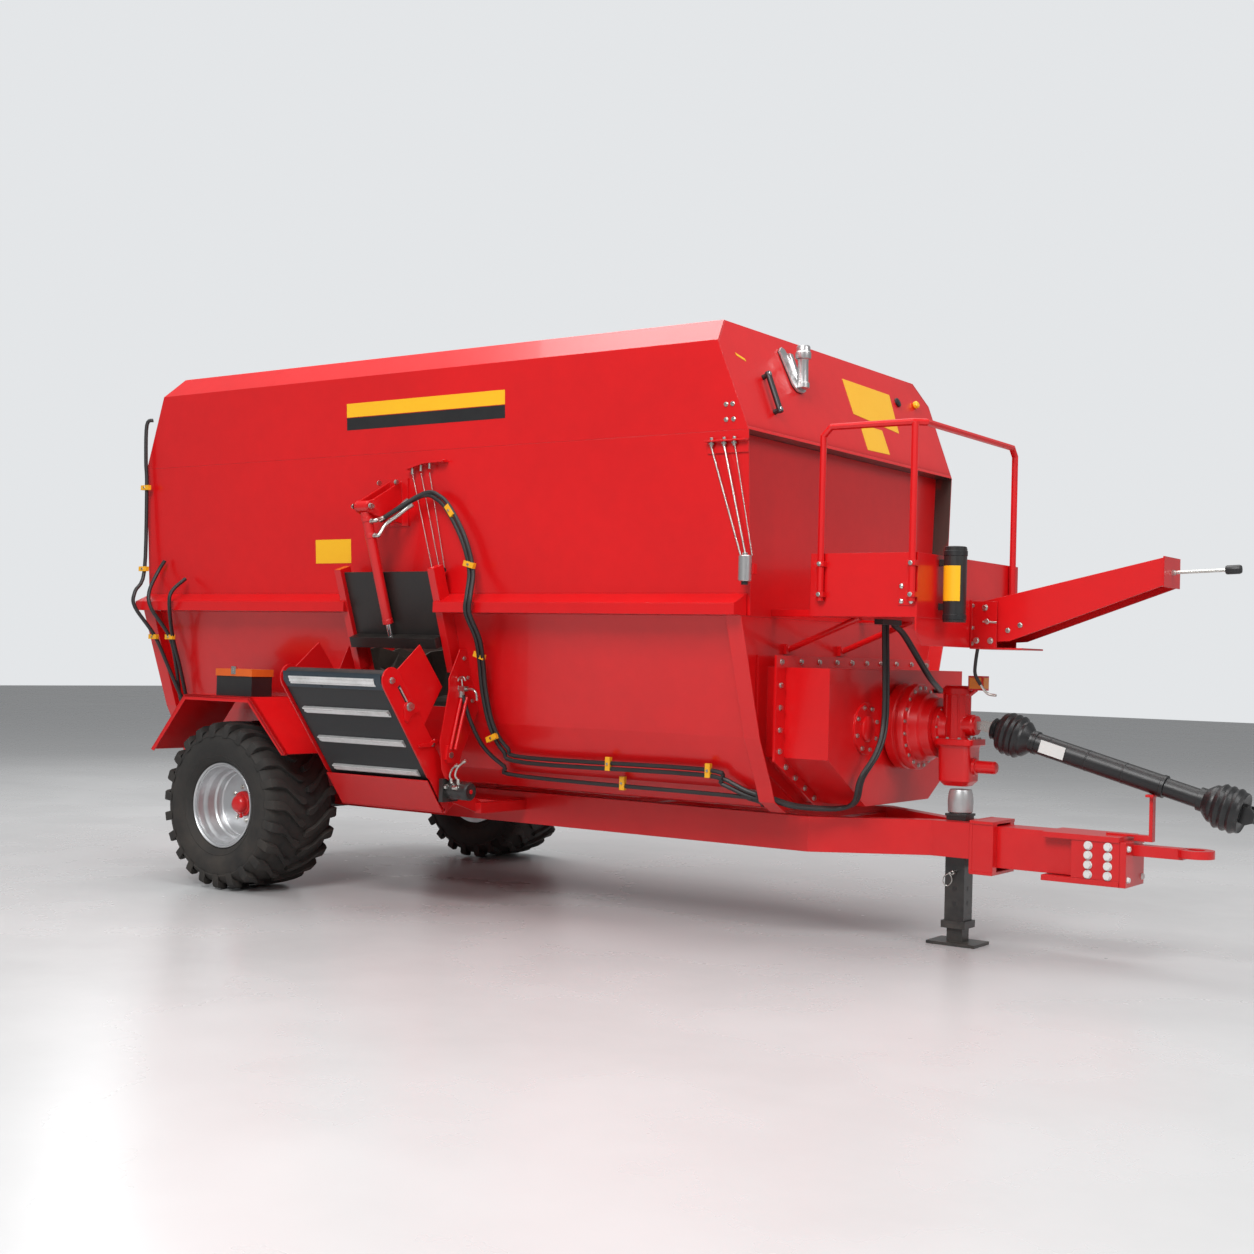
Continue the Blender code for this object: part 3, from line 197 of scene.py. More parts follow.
class Effects:
    """The effects that several finishes share, each a shader node group built once."""

    def __init__(self) -> None:
        """Builds the groups."""
        self.mottle = self._mottle()
        self.wear = self._wear()
        self.dust = self._dust()
        self.grain = self._grain()
        self.inside = self._inside()

    @staticmethod
    def _mottle() -> bpy.types.NodeTree:
        """Broad and fine uneven patches, as a value about a half."""
        tree, given, out = group("Uneven patches", {"Place": ("Vector", 0), "Scale": ("Float", 3.0)},
                                 {"Value": "Float"})
        broad = tree.noise(given["Place"], given["Scale"], 3.0)
        fine = tree.noise(given["Place"], tree.maths("MULTIPLY", given["Scale"], 9.0), 5.0, 0.6)
        total = tree.maths("ADD", tree.maths("MULTIPLY", broad, 0.65), tree.maths("MULTIPLY", fine, 0.35))
        tree.tree.links.new(total, out["Value"])
        return tree.tree

    @staticmethod
    def _wear() -> bpy.types.NodeTree:
        """A mask of rubbed edges, broken up by noise, and a normal that rounds the edges."""
        inputs = {"Place": ("Vector", 0), "Width": ("Float", 0.004), "Amount": ("Float", 0.5)}
        tree, given, out = group("Rubbed edges", inputs, {"Mask": "Float", "Normal": "Vector"})
        bevel = tree.add("ShaderNodeBevel", samples=4)
        tree.tree.links.new(given["Width"], bevel.inputs["Radius"])
        flat = tree.add("ShaderNodeNewGeometry")
        dot = tree.vectors("DOT_PRODUCT", bevel.outputs[0], flat.outputs["Normal"])
        edge = tree.ramp(dot.outputs["Value"], 0.99, 0.8)
        broken = tree.ramp(tree.noise(given["Place"], 60.0, 6.0, 0.7), 0.48, 0.62)
        mask = tree.maths("MULTIPLY", tree.maths("MULTIPLY", edge, broken), given["Amount"], clamp=True)
        tree.tree.links.new(mask, out["Mask"])
        tree.tree.links.new(bevel.outputs[0], out["Normal"])
        return tree.tree

    @staticmethod
    def _dust() -> bpy.types.NodeTree:
        """A mask of dust: more on faces that look up, and more near the ground."""
        inputs = {"Place": ("Vector", 0), "Amount": ("Float", 0.2), "Reach": ("Float", 1.0)}
        tree, given, out = group("Settled dust", inputs, {"Mask": "Float"})
        flat = tree.add("ShaderNodeNewGeometry")
        up = tree.ramp(tree.split(flat.outputs["Normal"])[2], -0.2, 1.0)
        height = tree.split(given["Place"])[2]
        low = tree.maths("SUBTRACT", 1.0, tree.maths("DIVIDE", height, given["Reach"]), clamp=True)
        patches = tree.ramp(tree.noise(given["Place"], 7.0, 8.0, 0.65), 0.35, 0.7)
        both = tree.maths("ADD", tree.maths("MULTIPLY", up, 0.4), low)
        mask = tree.maths("MULTIPLY", tree.maths("MULTIPLY", both, patches), given["Amount"], clamp=True)
        tree.tree.links.new(mask, out["Mask"])
        return tree.tree

    @staticmethod
    def _grain() -> bpy.types.NodeTree:
        """The height of a fine grain with slow waves under it."""
        inputs = {"Place": ("Vector", 0), "Scale": ("Float", 300.0), "Waves": ("Float", 0.5)}
        tree, given, out = group("Grain", inputs, {"Height": "Float"})
        fine = tree.noise(given["Place"], given["Scale"], 2.0)
        slow = tree.noise(given["Place"], 2.2, 1.0)
        total = tree.maths("ADD", fine, tree.maths("MULTIPLY", slow, given["Waves"]))
        tree.tree.links.new(total, out["Height"])
        return tree.tree

    @staticmethod
    def _inside() -> bpy.types.NodeTree:
        """A mask of the faces that look into the tub, in noise patches: partly dark bare steel, partly painted shade.
        """
        tree, given, out = group("Faces into the tub", {"Place": ("Vector", 0)}, {"Mask": "Float"})
        flat = tree.add("ShaderNodeNewGeometry")
        inward = tree.vectors("SUBTRACT", tuple(at(*TUB_MIDDLE)), given["Place"]).outputs[0]
        flatter = tree.vectors("MULTIPLY", inward, TUB_SHARES).outputs[0]
        dot = tree.vectors("DOT_PRODUCT", flatter, flat.outputs["True Normal"])
        facing = tree.ramp(dot.outputs["Value"], 0.02, 0.08)
        bare_and_shade_patches = tree.ramp(tree.noise(given["Place"], 4.0, 6.0, 0.6), 0.15, 0.45)
        tree.tree.links.new(tree.maths("MULTIPLY", facing, bare_and_shade_patches, clamp=True), out["Mask"])
        return tree.tree


@dataclass(frozen=True)
class Finish:
    """One surface finish, from which its material is made.

    Attributes:
        name: What the finish is called.
        colour: Its main colour.
        shade: The colour of its uneven patches.
        rough: Roughness where it is clean.
        spread: How far the roughness changes over the surface.
        metal: 1 for bare metal.
        coat: Weight of a clear coat over it.
        patch: Scale of the uneven patches.
        grain: Scale of the fine grain.
        depth: Depth of the grain in metres.
        waves: How far slow waves go beyond the grain.
        edge: Width over which edges look rounded and rubbed.
        wear: How much the edges are rubbed.
        bare: The colour under the rubbed edges.
        dust: How much dust lies on it.
        soil: The dust's colour.
        reach: Height under which dust thickens.
        lining: The dark colour of faces that look into the tub, where they differ: partly bare steel, partly painted
            shade.
    """

    name: str
    colour: Colour
    shade: Colour
    rough: float = 0.4
    spread: float = 0.1
    metal: float = 0.0
    coat: float = 0.0
    patch: float = 3.0
    grain: float = 350.0
    depth: float = 0.0002
    waves: float = 0.0
    edge: float = 0.002
    wear: float = 0.0
    bare: Colour = (0.3, 0.29, 0.28)
    dust: float = 0.1
    soil: Colour = (0.42, 0.36, 0.3)
    reach: float = 0.8
    lining: Colour | None = None

    def material(self, effects: Effects) -> bpy.types.Material:
        """Makes the material, or finds it when it was made before.

        Args:
            effects: The shared node groups.

        Returns:
            The finish's material.
        """
        found = bpy.data.materials.get(self.name)
        if found:
            return found
        made = bpy.data.materials.new(self.name)
        made.use_nodes = True
        made.diffuse_color = (*self.colour, 1)
        tree = Tree(made.node_tree)
        shader = made.node_tree.nodes["Principled BSDF"]
        place = tree.add("ShaderNodeTexCoord").outputs["Object"]
        patches = tree.add("ShaderNodeGroup", node_tree=effects.mottle, Place=place, Scale=self.patch).outputs[0]
        wear = tree.add("ShaderNodeGroup", node_tree=effects.wear, Place=place, Width=self.edge, Amount=self.wear)
        dust = tree.add(
            "ShaderNodeGroup", node_tree=effects.dust, Place=place, Amount=self.dust, Reach=self.reach
        ).outputs[0]
        grain = tree.add("ShaderNodeGroup", node_tree=effects.grain, Place=place, Scale=self.grain, Waves=self.waves)
        base = tree.mix(tree.ramp(patches, 0.35, 0.65), (*self.colour, 1), (*self.shade, 1))
        # Faces into the tub turn dark in patches: partly bare steel, partly painted shade that keeps the gate's mouth
        # black.
        if self.lining:
            inside = tree.add("ShaderNodeGroup", node_tree=effects.inside, Place=place).outputs[0]
            base = tree.mix(inside, base, (*self.lining, 1))
        rubbed = tree.mix(wear.outputs["Mask"], base, (*self.bare, 1))
        tree.feed(shader, "Base Color", tree.mix(dust, rubbed, (*self.soil, 1)))
        uneven = tree.maths("MULTIPLY", tree.maths("SUBTRACT", patches, 0.5), self.spread * 2)
        matt = tree.maths("MULTIPLY", dust, 0.5)
        rough = tree.maths("ADD", tree.maths("ADD", self.rough, uneven), matt, clamp=True)
        tree.feed(shader, "Roughness", rough)
        bump = tree.add("ShaderNodeBump", Strength=1.0, Distance=self.depth, Height=grain.outputs[0])
        tree.feed(bump, "Normal", wear.outputs["Normal"])
        tree.feed(shader, "Normal", bump.outputs[0])
        shader.inputs["Metallic"].default_value = self.metal
        shader.inputs["Coat Weight"].default_value = self.coat
        shader.inputs["Coat Roughness"].default_value = COAT_ROUGHNESS
        return made


class Paint:
    """The finishes of this machine."""

    RED = Finish(
        "Red paint", (0.66, 0.004, 0.006), (0.58, 0.003, 0.005), rough=0.3, spread=0.05, coat=0.2, patch=1.3,
        grain=420.0, depth=0.00012, waves=10.0, edge=0.004, wear=0.04, dust=0.03,
    )
    # Red with a dark lining inside the tub: partly bare steel, partly painted shade.
    LINED = replace(RED, name="Red paint, scoured inside", lining=(0.06, 0.045, 0.038))
    # Dark augers: partly worn steel, partly painted shade that keeps the gate's mouth black.
    FEED = Finish("Dark auger steel and painted shade", (0.06, 0.048, 0.042), (0.11, 0.085, 0.07), rough=0.45, spread=0.3, metal=0.4,
                  patch=6.0, wear=0.5, bare=(0.35, 0.33, 0.31), dust=0.1)
    YELLOW = Finish("Yellow film", (0.9, 0.48, 0.012), (0.88, 0.45, 0.01), rough=0.32, coat=0.2, depth=0.00005,
                    dust=0.02)
    # Black film for print; it is also painted shade for holes and slots drawn as black sheets.
    INK = Finish("Black film and painted hole shade", (0.014, 0.014, 0.015), (0.02, 0.02, 0.021), rough=0.32, depth=0.00005, dust=0.05)
    WHITE = Finish("White film", (0.72, 0.72, 0.7), (0.68, 0.68, 0.66), rough=0.4, depth=0.00005, dust=0.05)
    GOLD = Finish("Yellow clamp", (0.86, 0.42, 0.015), (0.8, 0.38, 0.012), rough=0.38, patch=30.0, edge=0.001,
                  dust=0.04)
    ALLOY = Finish(
        "Cast alloy", (0.58, 0.57, 0.57), (0.48, 0.475, 0.475), rough=0.32, spread=0.12, metal=0.85, patch=14.0,
        grain=260.0, depth=0.0003, wear=0.1, dust=0.04,
    )
    SLATE = Finish("Blue-grey strip", (0.03, 0.045, 0.06), (0.04, 0.056, 0.072), rough=0.3, metal=0.4, patch=6.0)
    PALE = Finish("Pale cast cap", (0.52, 0.53, 0.53), (0.44, 0.45, 0.45), rough=0.36, metal=0.6, patch=16.0,
                  dust=0.05)
    AMBER = Finish("Amber lens", (0.8, 0.27, 0.015), (0.72, 0.2, 0.012), rough=0.18, coat=0.5, depth=0.00005)
    HOSE = Finish("Hose rubber", (0.014, 0.014, 0.015), (0.022, 0.021, 0.021), rough=0.45, grain=500.0, dust=0.08)
    BLACK = Finish(
        "Black paint", (0.012, 0.012, 0.013), (0.02, 0.019, 0.018), rough=0.36, coat=0.2, wear=0.25, dust=0.12,
    )
    GATE = Finish(
        "Dark gate steel", (0.01, 0.009, 0.009), (0.022, 0.017, 0.015), rough=0.42, spread=0.25, patch=5.0,
        wear=0.3, dust=0.1,
    )
    TYRE = Finish(
        "Tyre rubber", (0.012, 0.0115, 0.011), (0.024, 0.022, 0.02), rough=0.72, patch=6.0, grain=160.0,
        depth=0.0006, wear=0.0, dust=0.42, soil=(0.105, 0.086, 0.07), reach=0.95,
    )
    RIM = Finish(
        "Silver rim paint", (0.62, 0.63, 0.64), (0.56, 0.57, 0.585), rough=0.33, metal=0.75, grain=500.0,
        edge=0.003, dust=0.1, reach=0.9,
    )
    ZINC = Finish(
        "Zinc-plated steel", (0.62, 0.61, 0.58), (0.5, 0.49, 0.45), rough=0.3, spread=0.2, metal=1.0, patch=25.0,
        wear=0.1, dust=0.06,
    )
    SLAT = Finish(
        "Worn bright steel", (0.86, 0.86, 0.86), (0.66, 0.66, 0.65), rough=0.36, spread=0.2, metal=0.55, patch=9.0,
        grain=220.0, wear=0.2,
    )
    CHROME = Finish("Chromed rod", (0.75, 0.75, 0.76), (0.7, 0.7, 0.71), rough=0.1, spread=0.04, metal=1.0, dust=0.03)
    BELT = Finish(
        "Belt rubber", (0.011, 0.012, 0.013), (0.017, 0.018, 0.02), rough=0.5, spread=0.15, patch=7.0, grain=260.0,
        depth=0.0004, dust=0.14,
    )
    GUARD = Finish("Guard plastic", (0.01, 0.01, 0.011), (0.016, 0.016, 0.017), rough=0.38, grain=600.0, dust=0.08)
    ORANGE = Finish("Orange plastic", (0.72, 0.13, 0.012), (0.62, 0.1, 0.01), rough=0.42, grain=700.0, depth=0.0003)


EFFECTS = Effects()


@dataclass
class Studio:
    """The camera where the photographer stood, a pale floor and soft light."""

    eye: Place = (7.1893, -7.5857, 1.3454)
    turn: float = math.radians(35.297)
    look_up: float = math.radians(1.0559)
    roll: float = math.radians(1.5105)
    lens: float = 47.87
    floor_half: float = 40.0
    floor_drop: float = 0.001
    view_end: float = 200
    sky_light: float = 0.34
    sky_seen: float = 0.86
    lamps: tuple[tuple[str, Place, Place, float, float], ...] = (
        ("Key", (4.5, -9.0, 8.0), (1.5, -0.8, 1.4), 4.5, 900),
        ("Front", (12.0, -1.5, 6.5), (3.0, 0.0, 1.4), 4.0, 330),
        ("Ceiling", (1.2, 0.5, 9.5), (1.2, 0.0, 0.0), 9.0, 900),
        ("Back", (-6.0, 5.0, 6.0), (0.0, 0.0, 1.5), 5.0, 200),
    )

    def build(self) -> None:
        """Makes the camera, the floor, the sky and the lamps."""
        self._camera()
        self._floor()
        self._sky()
        for name, place, target, size, power in self.lamps:
            self._lamp(name, at(*place), at(*target), size, power)

    def _camera(self) -> None:
        """Aims the camera by its turn, its tilt and its roll."""
        ahead = Vector((
            -math.sin(self.turn) * math.cos(self.look_up),
            math.cos(self.turn) * math.cos(self.look_up),
            math.sin(self.look_up),
        ))
        level = Vector((math.cos(self.turn), math.sin(self.turn), 0))
        up = level.cross(ahead)
        right = level * math.cos(self.roll) + up * math.sin(self.roll)
        top = up * math.cos(self.roll) - level * math.sin(self.roll)
        data = bpy.data.cameras.new("Camera")
        data.lens = self.lens
        data.clip_end = self.view_end
        camera = bpy.data.objects.new("Camera", data)
        bpy.context.scene.collection.objects.link(camera)
        camera.matrix_world = Matrix.Translation(at(*self.eye)) @ Matrix((right, top, -ahead)).transposed().to_4x4()
        bpy.context.scene.camera = camera

    def _floor(self) -> None:
        """Lays the pale floor just under the wheels."""
        mesh = bpy.data.meshes.new("Floor")
        form = bmesh.new()
        bmesh.ops.create_grid(form, x_segments=1, y_segments=1, size=self.floor_half)
        bmesh.ops.translate(form, verts=form.verts, vec=(0, 0, -self.floor_drop))
        form.to_mesh(mesh)
        form.free()
        floor = bpy.data.objects.new("Floor", mesh)
        bpy.context.scene.collection.objects.link(floor)
        made = bpy.data.materials.new("Pale floor")
        made.use_nodes = True
        tree = Tree(made.node_tree)
        shader = made.node_tree.nodes["Principled BSDF"]
        place = tree.add("ShaderNodeTexCoord").outputs["Object"]
        broad = tree.noise(place, 0.6, 6.0, 0.6)
        tree.feed(shader, "Base Color", tree.mix(broad, (0.5, 0.5, 0.5, 1), (0.62, 0.62, 0.62, 1)))
        tree.feed(shader, "Roughness", tree.maths("ADD", tree.maths("MULTIPLY", broad, 0.22), 0.16))
        mesh.materials.append(made)

    def _sky(self) -> None:
        """Sets an even pale light from all sides, dimmer on the machine than in the picture's backdrop."""
        world = bpy.data.worlds.new("Hall")
        world.use_nodes = True
        nodes, links = world.node_tree.nodes, world.node_tree.links
        nodes["Background"].inputs["Color"].default_value = (0.9, 0.92, 0.94, 1)
        seen = nodes.new("ShaderNodeLightPath")
        strength = nodes.new("ShaderNodeMapRange")
        strength.inputs["To Min"].default_value = self.sky_light
        strength.inputs["To Max"].default_value = self.sky_seen
        links.new(seen.outputs["Is Camera Ray"], strength.inputs["Value"])
        links.new(strength.outputs["Result"], nodes["Background"].inputs["Strength"])
        bpy.context.scene.world = world
        bpy.context.scene.view_settings.view_transform = "Standard"

    @staticmethod
    def _lamp(name: str, place: Vector, target: Vector, size: float, power: float) -> None:
        """Adds one square soft light.

        Args:
            name: Its name.
            place: Where it hangs.
            target: What it points at.
            size: The length of its side.
            power: Its power in watts.
        """
        data = bpy.data.lights.new(name, "AREA")
        data.size = size
        data.energy = power
        lamp = bpy.data.objects.new(name, data)
        bpy.context.scene.collection.objects.link(lamp)
        lamp.location = place
        lamp.rotation_euler = (target - place).to_track_quat("-Z", "Y").to_euler()


def axes_from(way: Place) -> tuple[Vector, Vector, Vector]:
    """A direction and two more square to it, all of length 1."""
    axis = Vector(way).normalized()
    side = axis.orthogonal().normalized()
    return axis, side, axis.cross(side)


def circle(middle: Vector, side: Vector, other: Vector, radius: float, steps: int) -> list[Vector]:
    """Points round a middle, in the plane of two directions."""
    turns = [math.tau * step / steps for step in range(steps)]
    return [middle + (side * math.cos(t) + other * math.sin(t)) * radius for t in turns]


class Form:
    """A mesh put together from simple shapes, each with its own finish."""

    def __init__(self, name: str) -> None:
        """Starts an empty mesh with a name."""
        self.name = name
        self.mesh = bmesh.new()
        self.finishes: list[Finish] = []

    def paint(self, faces: list[bmesh.types.BMFace], finish: Finish) -> None:
        """Gives faces a finish."""
        if finish not in self.finishes:
            self.finishes.append(finish)
        for face in faces:
            face.material_index = self.finishes.index(finish)

    def loft(self, rings: list[list[Vector]], finish: Finish, closed: bool = False) -> None:
        """Joins rings of points by faces, with a cap at both ends unless the row is closed.

        Args:
            rings: Rings with the same number of points.
            finish: The faces' finish.
            closed: Whether the last ring joins the first.
        """
        verts = [[self.mesh.verts.new(point) for point in ring] for ring in rings]
        faces = []
        pairs = list(zip(verts, verts[1:] + verts[:1]))
        for near, far in pairs if closed else pairs[:-1]:
            for index in range(len(near)):
                after = (index + 1) % len(near)
                faces.append(self.mesh.faces.new((near[index], near[after], far[after], far[index])))
        if not closed:
            faces.append(self.mesh.faces.new(verts[0]))
            faces.append(self.mesh.faces.new(verts[-1]))
        self.paint(faces, finish)

    def block(self, low: Place, high: Place, finish: Finish = Paint.RED) -> None:
        """A box between two corners, given in the machine's places."""
        a, b = at(*low), at(*high)
        ring = [Vector((a.x, a.y, 0)), Vector((b.x, a.y, 0)), Vector((b.x, b.y, 0)), Vector((a.x, b.y, 0))]
        self.loft([[p + Vector((0, 0, z)) for p in ring] for z in (a.z, b.z)], finish)

    def prism(self, outline: list[Place], way: Place, finish: Finish = Paint.RED) -> None:
        """A flat outline made thick along a vector."""
        base = [at(*point) for point in outline]
        self.loft([base, [point + Vector(way) for point in base]], finish)

    def sheet(self, outline: Profile, x: float, thick: float, finish: Finish = Paint.RED) -> None:
        """A plate square to the machine's length, from the Y and Z of its outline."""
        self.prism([(x, y, z) for y, z in outline], (thick, 0, 0), finish)

    def turned(
        self, profile: Profile, start: Place, way: Place, finish: Finish, steps: int = 24,
        closed: bool = False,
    ) -> None:
        """A turned shape.

        Args:
            profile: Radii and places along the axis.
            start: Where the axis starts.
            way: The axis.
            finish: Its finish.
            steps: Sides round the axis.
            closed: Whether the profile is a ring that closes on itself.
        """
        axis, side, other = axes_from(way)
        rings = [circle(at(*start) + axis * along, side, other, max(radius, THINNEST), steps)
                 for radius, along in profile]
        self.loft(rings, finish, closed)

    def rod(
        self, start: Place, end: Place, radius: float, finish: Finish, steps: int = 16,
        soft: float = 0.0,
    ) -> None:
        """A round bar between two points, its ends softened by a small radius."""
        length = (Vector(end) - Vector(start)).length
        profile = [(radius, 0), (radius, length)]
        if soft:
            profile = [(radius - soft, 0), (radius, soft), (radius, length - soft), (radius - soft, length)]
        self.turned(profile, start, Vector(end) - Vector(start), finish, steps)

    def tube(self, points: list[Place], radius: float, finish: Finish, sides: int = 10, smooth: int = 4) -> None:
        """A bent round bar through points.

        Args:
            points: The points it passes.
            radius: Its radius.
            finish: Its finish.
            sides: Sides round it.
            smooth: Steps of the soft curve between two points, or 1 for straight runs.
        """
        route = curve_through([Vector(point) for point in points], smooth)
        rings = []
        side = (route[1] - route[0]).orthogonal().normalized()
        for index, point in enumerate(route):
            way = (route[min(index + 1, len(route) - 1)] - route[max(index - 1, 0)]).normalized()
            side = (side - way * side.dot(way)).normalized()
            rings.append(circle(at(*point), side, way.cross(side), radius, sides))
        self.loft(rings, finish)

    def merge(self, mesh: bpy.types.Mesh, finish: Finish) -> None:
        """Adds a finished mesh, all in one finish."""
        before = len(self.mesh.faces)
        self.mesh.from_mesh(mesh)
        self.mesh.faces.ensure_lookup_table()
        self.paint(list(self.mesh.faces)[before:], finish)

    def done(self, body: str, slot: Slot, *nodes: str, angle: float = 35.0) -> None:
        """Makes the object.

        Args:
            body: The CAD body that it rides on.
            slot: Not used.
            nodes: The CAD nodes that it stands for.
            angle: Angle in degrees over which an edge stays sharp.
        """
        bmesh.ops.recalc_face_normals(self.mesh, faces=self.mesh.faces)
        mesh = bpy.data.meshes.new(self.name)
        self.mesh.to_mesh(mesh)
        self.mesh.free()
        for finish in self.finishes:
            mesh.materials.append(finish.material(EFFECTS))
        mesh.shade_smooth()
        mesh.set_sharp_from_angle(angle=math.radians(angle))
        made = bpy.data.objects.new(self.name, mesh)
        bpy.context.scene.collection.objects.link(made)
        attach(made, body)
        if nodes:
            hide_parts(*nodes)


def curve_through(points: list[Vector], steps: int) -> list[Vector]:
    """A soft curve through points.

    Args:
        points: The points.
        steps: Places between two points, or 1 for straight runs.

    Returns:
        The curve's places.
    """
    if steps < 2 or len(points) < 3:
        return points
    route = []
    for index in range(len(points) - 1):
        p0, p1 = points[max(index - 1, 0)], points[index]
        p2, p3 = points[index + 1], points[min(index + 2, len(points) - 1)]
        for step in range(steps):
            t = step / steps
            route.append(0.5 * (2 * p1 + (p2 - p0) * t + (2 * p0 - 5 * p1 + 4 * p2 - p3) * t * t
                                + (3 * p1 - p0 - 3 * p2 + p3) * t ** 3))
    return route + [points[-1]]


def band(inner: float, outer: float, start: float, stop: float, soft: float = 0.002) -> Profile:
    """The profile of a ring with softened edges, as radii and places along its axis."""
    return [(inner, start), (outer, start + soft), (outer, stop - soft), (inner, stop)]


def pair(low: float, high: float, side: int) -> tuple[float, float]:
    """Two distances from the middle as a rising pair on one side of the machine."""
    return (low, high) if side > 0 else (-high, -low)


class Pattern:
    """A Geometry Nodes tree with short calls to add and wire its nodes."""

    def __init__(self, name: str, inputs: dict[str, tuple[str, float]]) -> None:
        """Starts the tree.

        Args:
            name: The tree's name.
            inputs: For each named input its socket type and its value.
        """
        self.tree = bpy.data.node_groups.new(name, "GeometryNodeTree")
        self.tree.interface.new_socket("Geometry", in_out="INPUT", socket_type="NodeSocketGeometry")
        for key, (kind, value) in inputs.items():
            socket = self.tree.interface.new_socket(key, in_out="INPUT", socket_type="NodeSocket" + kind)
            if kind != "Material":
                socket.default_value = value
        self.tree.interface.new_socket("Geometry", in_out="OUTPUT", socket_type="NodeSocketGeometry")
        self.given = self.tree.nodes.new("NodeGroupInput").outputs

    def add(self, kind: str, feeds: dict[int | str, object] | None = None, **values: object) -> bpy.types.Node:
        """Adds a node, its properties by name and its inputs by number or name."""
        node = self.tree.nodes.new(kind)
        for key, value in values.items():
            setattr(node, key, value)
        for key, value in (feeds or {}).items():
            if isinstance(value, bpy.types.NodeSocket):
                self.tree.links.new(value, node.inputs[key])
            else:
                node.inputs[key].default_value = value
        return node

    def maths(self, operation: str, first: object, second: object) -> bpy.types.NodeSocket:
        """The result of one sum."""
        return self.add("ShaderNodeMath", {0: first, 1: second}, operation=operation).outputs[0]

    def close(self, geometry: bpy.types.NodeSocket) -> None:
        """Ends the tree with Realize Instances and Set Material."""
        whole = self.add("GeometryNodeRealizeInstances", {0: geometry})
        dressed = self.add("GeometryNodeSetMaterial", {"Geometry": whole.outputs[0],
                                                       "Material": self.given["Material"]})
        end = self.tree.nodes.new("NodeGroupOutput")
        self.tree.links.new(dressed.outputs[0], end.inputs[0])

    def run(self, mesh: bpy.types.Mesh, finish: Finish, **values: float) -> bpy.types.Mesh:
        """Runs the tree on a mesh.

        Args:
            mesh: The mesh that it starts from.
            finish: The finish of what it makes.
            values: The tree's named inputs, spaces as underscores.

        Returns:
            The mesh that it makes.
        """
        holder = bpy.data.objects.new(self.tree.name, mesh)
        bpy.context.scene.collection.objects.link(holder)
        step = holder.modifiers.new("Pattern", "NODES")
        step.node_group = self.tree
        for item in self.tree.interface.items_tree:
            if item.in_out == "INPUT" and item.name.replace(" ", "_") in values:
                step[item.identifier] = values[item.name.replace(" ", "_")]
            if item.in_out == "INPUT" and item.name == "Material":
                step[item.identifier] = finish.material(EFFECTS)
        bpy.context.view_layer.update()
        shape = holder.evaluated_get(bpy.context.evaluated_depsgraph_get())
        made = bpy.data.meshes.new_from_object(shape)
        bpy.data.objects.remove(holder)
        return made


class Patterns:
    """The trees that repeat bolts and tread bars. A bolt's sizes are shares of its head's radius."""

    head_high: float = 0.75
    head_middle: float = 0.55
    washer_wide: float = 1.25
    washer_high: float = 0.22
    washer_middle: float = 0.1

    def __init__(self) -> None:
        """Builds the trees."""
        self.bolts = self._bolts()
        self.tread = self._tread()

    def _bolts(self) -> Pattern:
        """Hexagon bolts on points, each turned to its point's facing and scaled by its size."""
        pattern = Pattern("Bolts", {"Material": ("Material", 0)})
        head = pattern.add("GeometryNodeMeshCylinder", {"Vertices": 6, "Radius": 1.0, "Depth": self.head_high})
        raised = pattern.add("GeometryNodeTransform", {0: head.outputs[0], "Translation": (0, 0, self.head_middle)})
        washer = pattern.add(
            "GeometryNodeMeshCylinder", {"Vertices": 20, "Radius": self.washer_wide, "Depth": self.washer_high}
        )
        low = pattern.add("GeometryNodeTransform", {0: washer.outputs[0], "Translation": (0, 0, self.washer_middle)})
        both = pattern.add("GeometryNodeJoinGeometry")
        for piece in (raised, low):
            pattern.tree.links.new(piece.outputs[0], both.inputs[0])
        facing = pattern.add("GeometryNodeInputNamedAttribute", {"Name": "facing"}, data_type="FLOAT_VECTOR")
        size = pattern.add("GeometryNodeInputNamedAttribute", {"Name": "size"}, data_type="FLOAT")
        turn = pattern.add("FunctionNodeAlignRotationToVector", {"Vector": facing.outputs[0]}, axis="Z")
        placed = pattern.add("GeometryNodeInstanceOnPoints", {
            "Points": pattern.given["Geometry"], "Instance": both.outputs[0],
            "Rotation": turn.outputs[0], "Scale": size.outputs[0],
        })
        pattern.close(placed.outputs[0])
        return pattern

    @staticmethod
    def _tread() -> Pattern:
        """A ring of one tread bar round Y, and the same ring mirrored half a step on."""
        pattern = Pattern("Tread", {"Count": ("Int", 23), "Material": ("Material", 0)})
        count = pattern.given["Count"]
        rings = pattern.add("GeometryNodeJoinGeometry")
        for mirror, shift in ((1, 0.0), (-1, 0.5)):
            points = pattern.add("GeometryNodePoints", {"Count": count})
            index = pattern.add("GeometryNodeInputIndex").outputs[0]
            turns = pattern.maths("DIVIDE", pattern.maths("ADD", index, shift), count)
            angle = pattern.maths("MULTIPLY", turns, math.tau)
            way = pattern.add("ShaderNodeCombineXYZ", {1: angle})
            turn = pattern.add("FunctionNodeEulerToRotation", {0: way.outputs[0]})
            placed = pattern.add("GeometryNodeInstanceOnPoints", {
                "Points": points.outputs[0], "Instance": pattern.given["Geometry"],
                "Rotation": turn.outputs[0], "Scale": (1, mirror, 1),
            })
            pattern.tree.links.new(placed.outputs[0], rings.inputs[0])
        pattern.close(rings.outputs[0])
        return pattern


PATTERNS = Patterns()


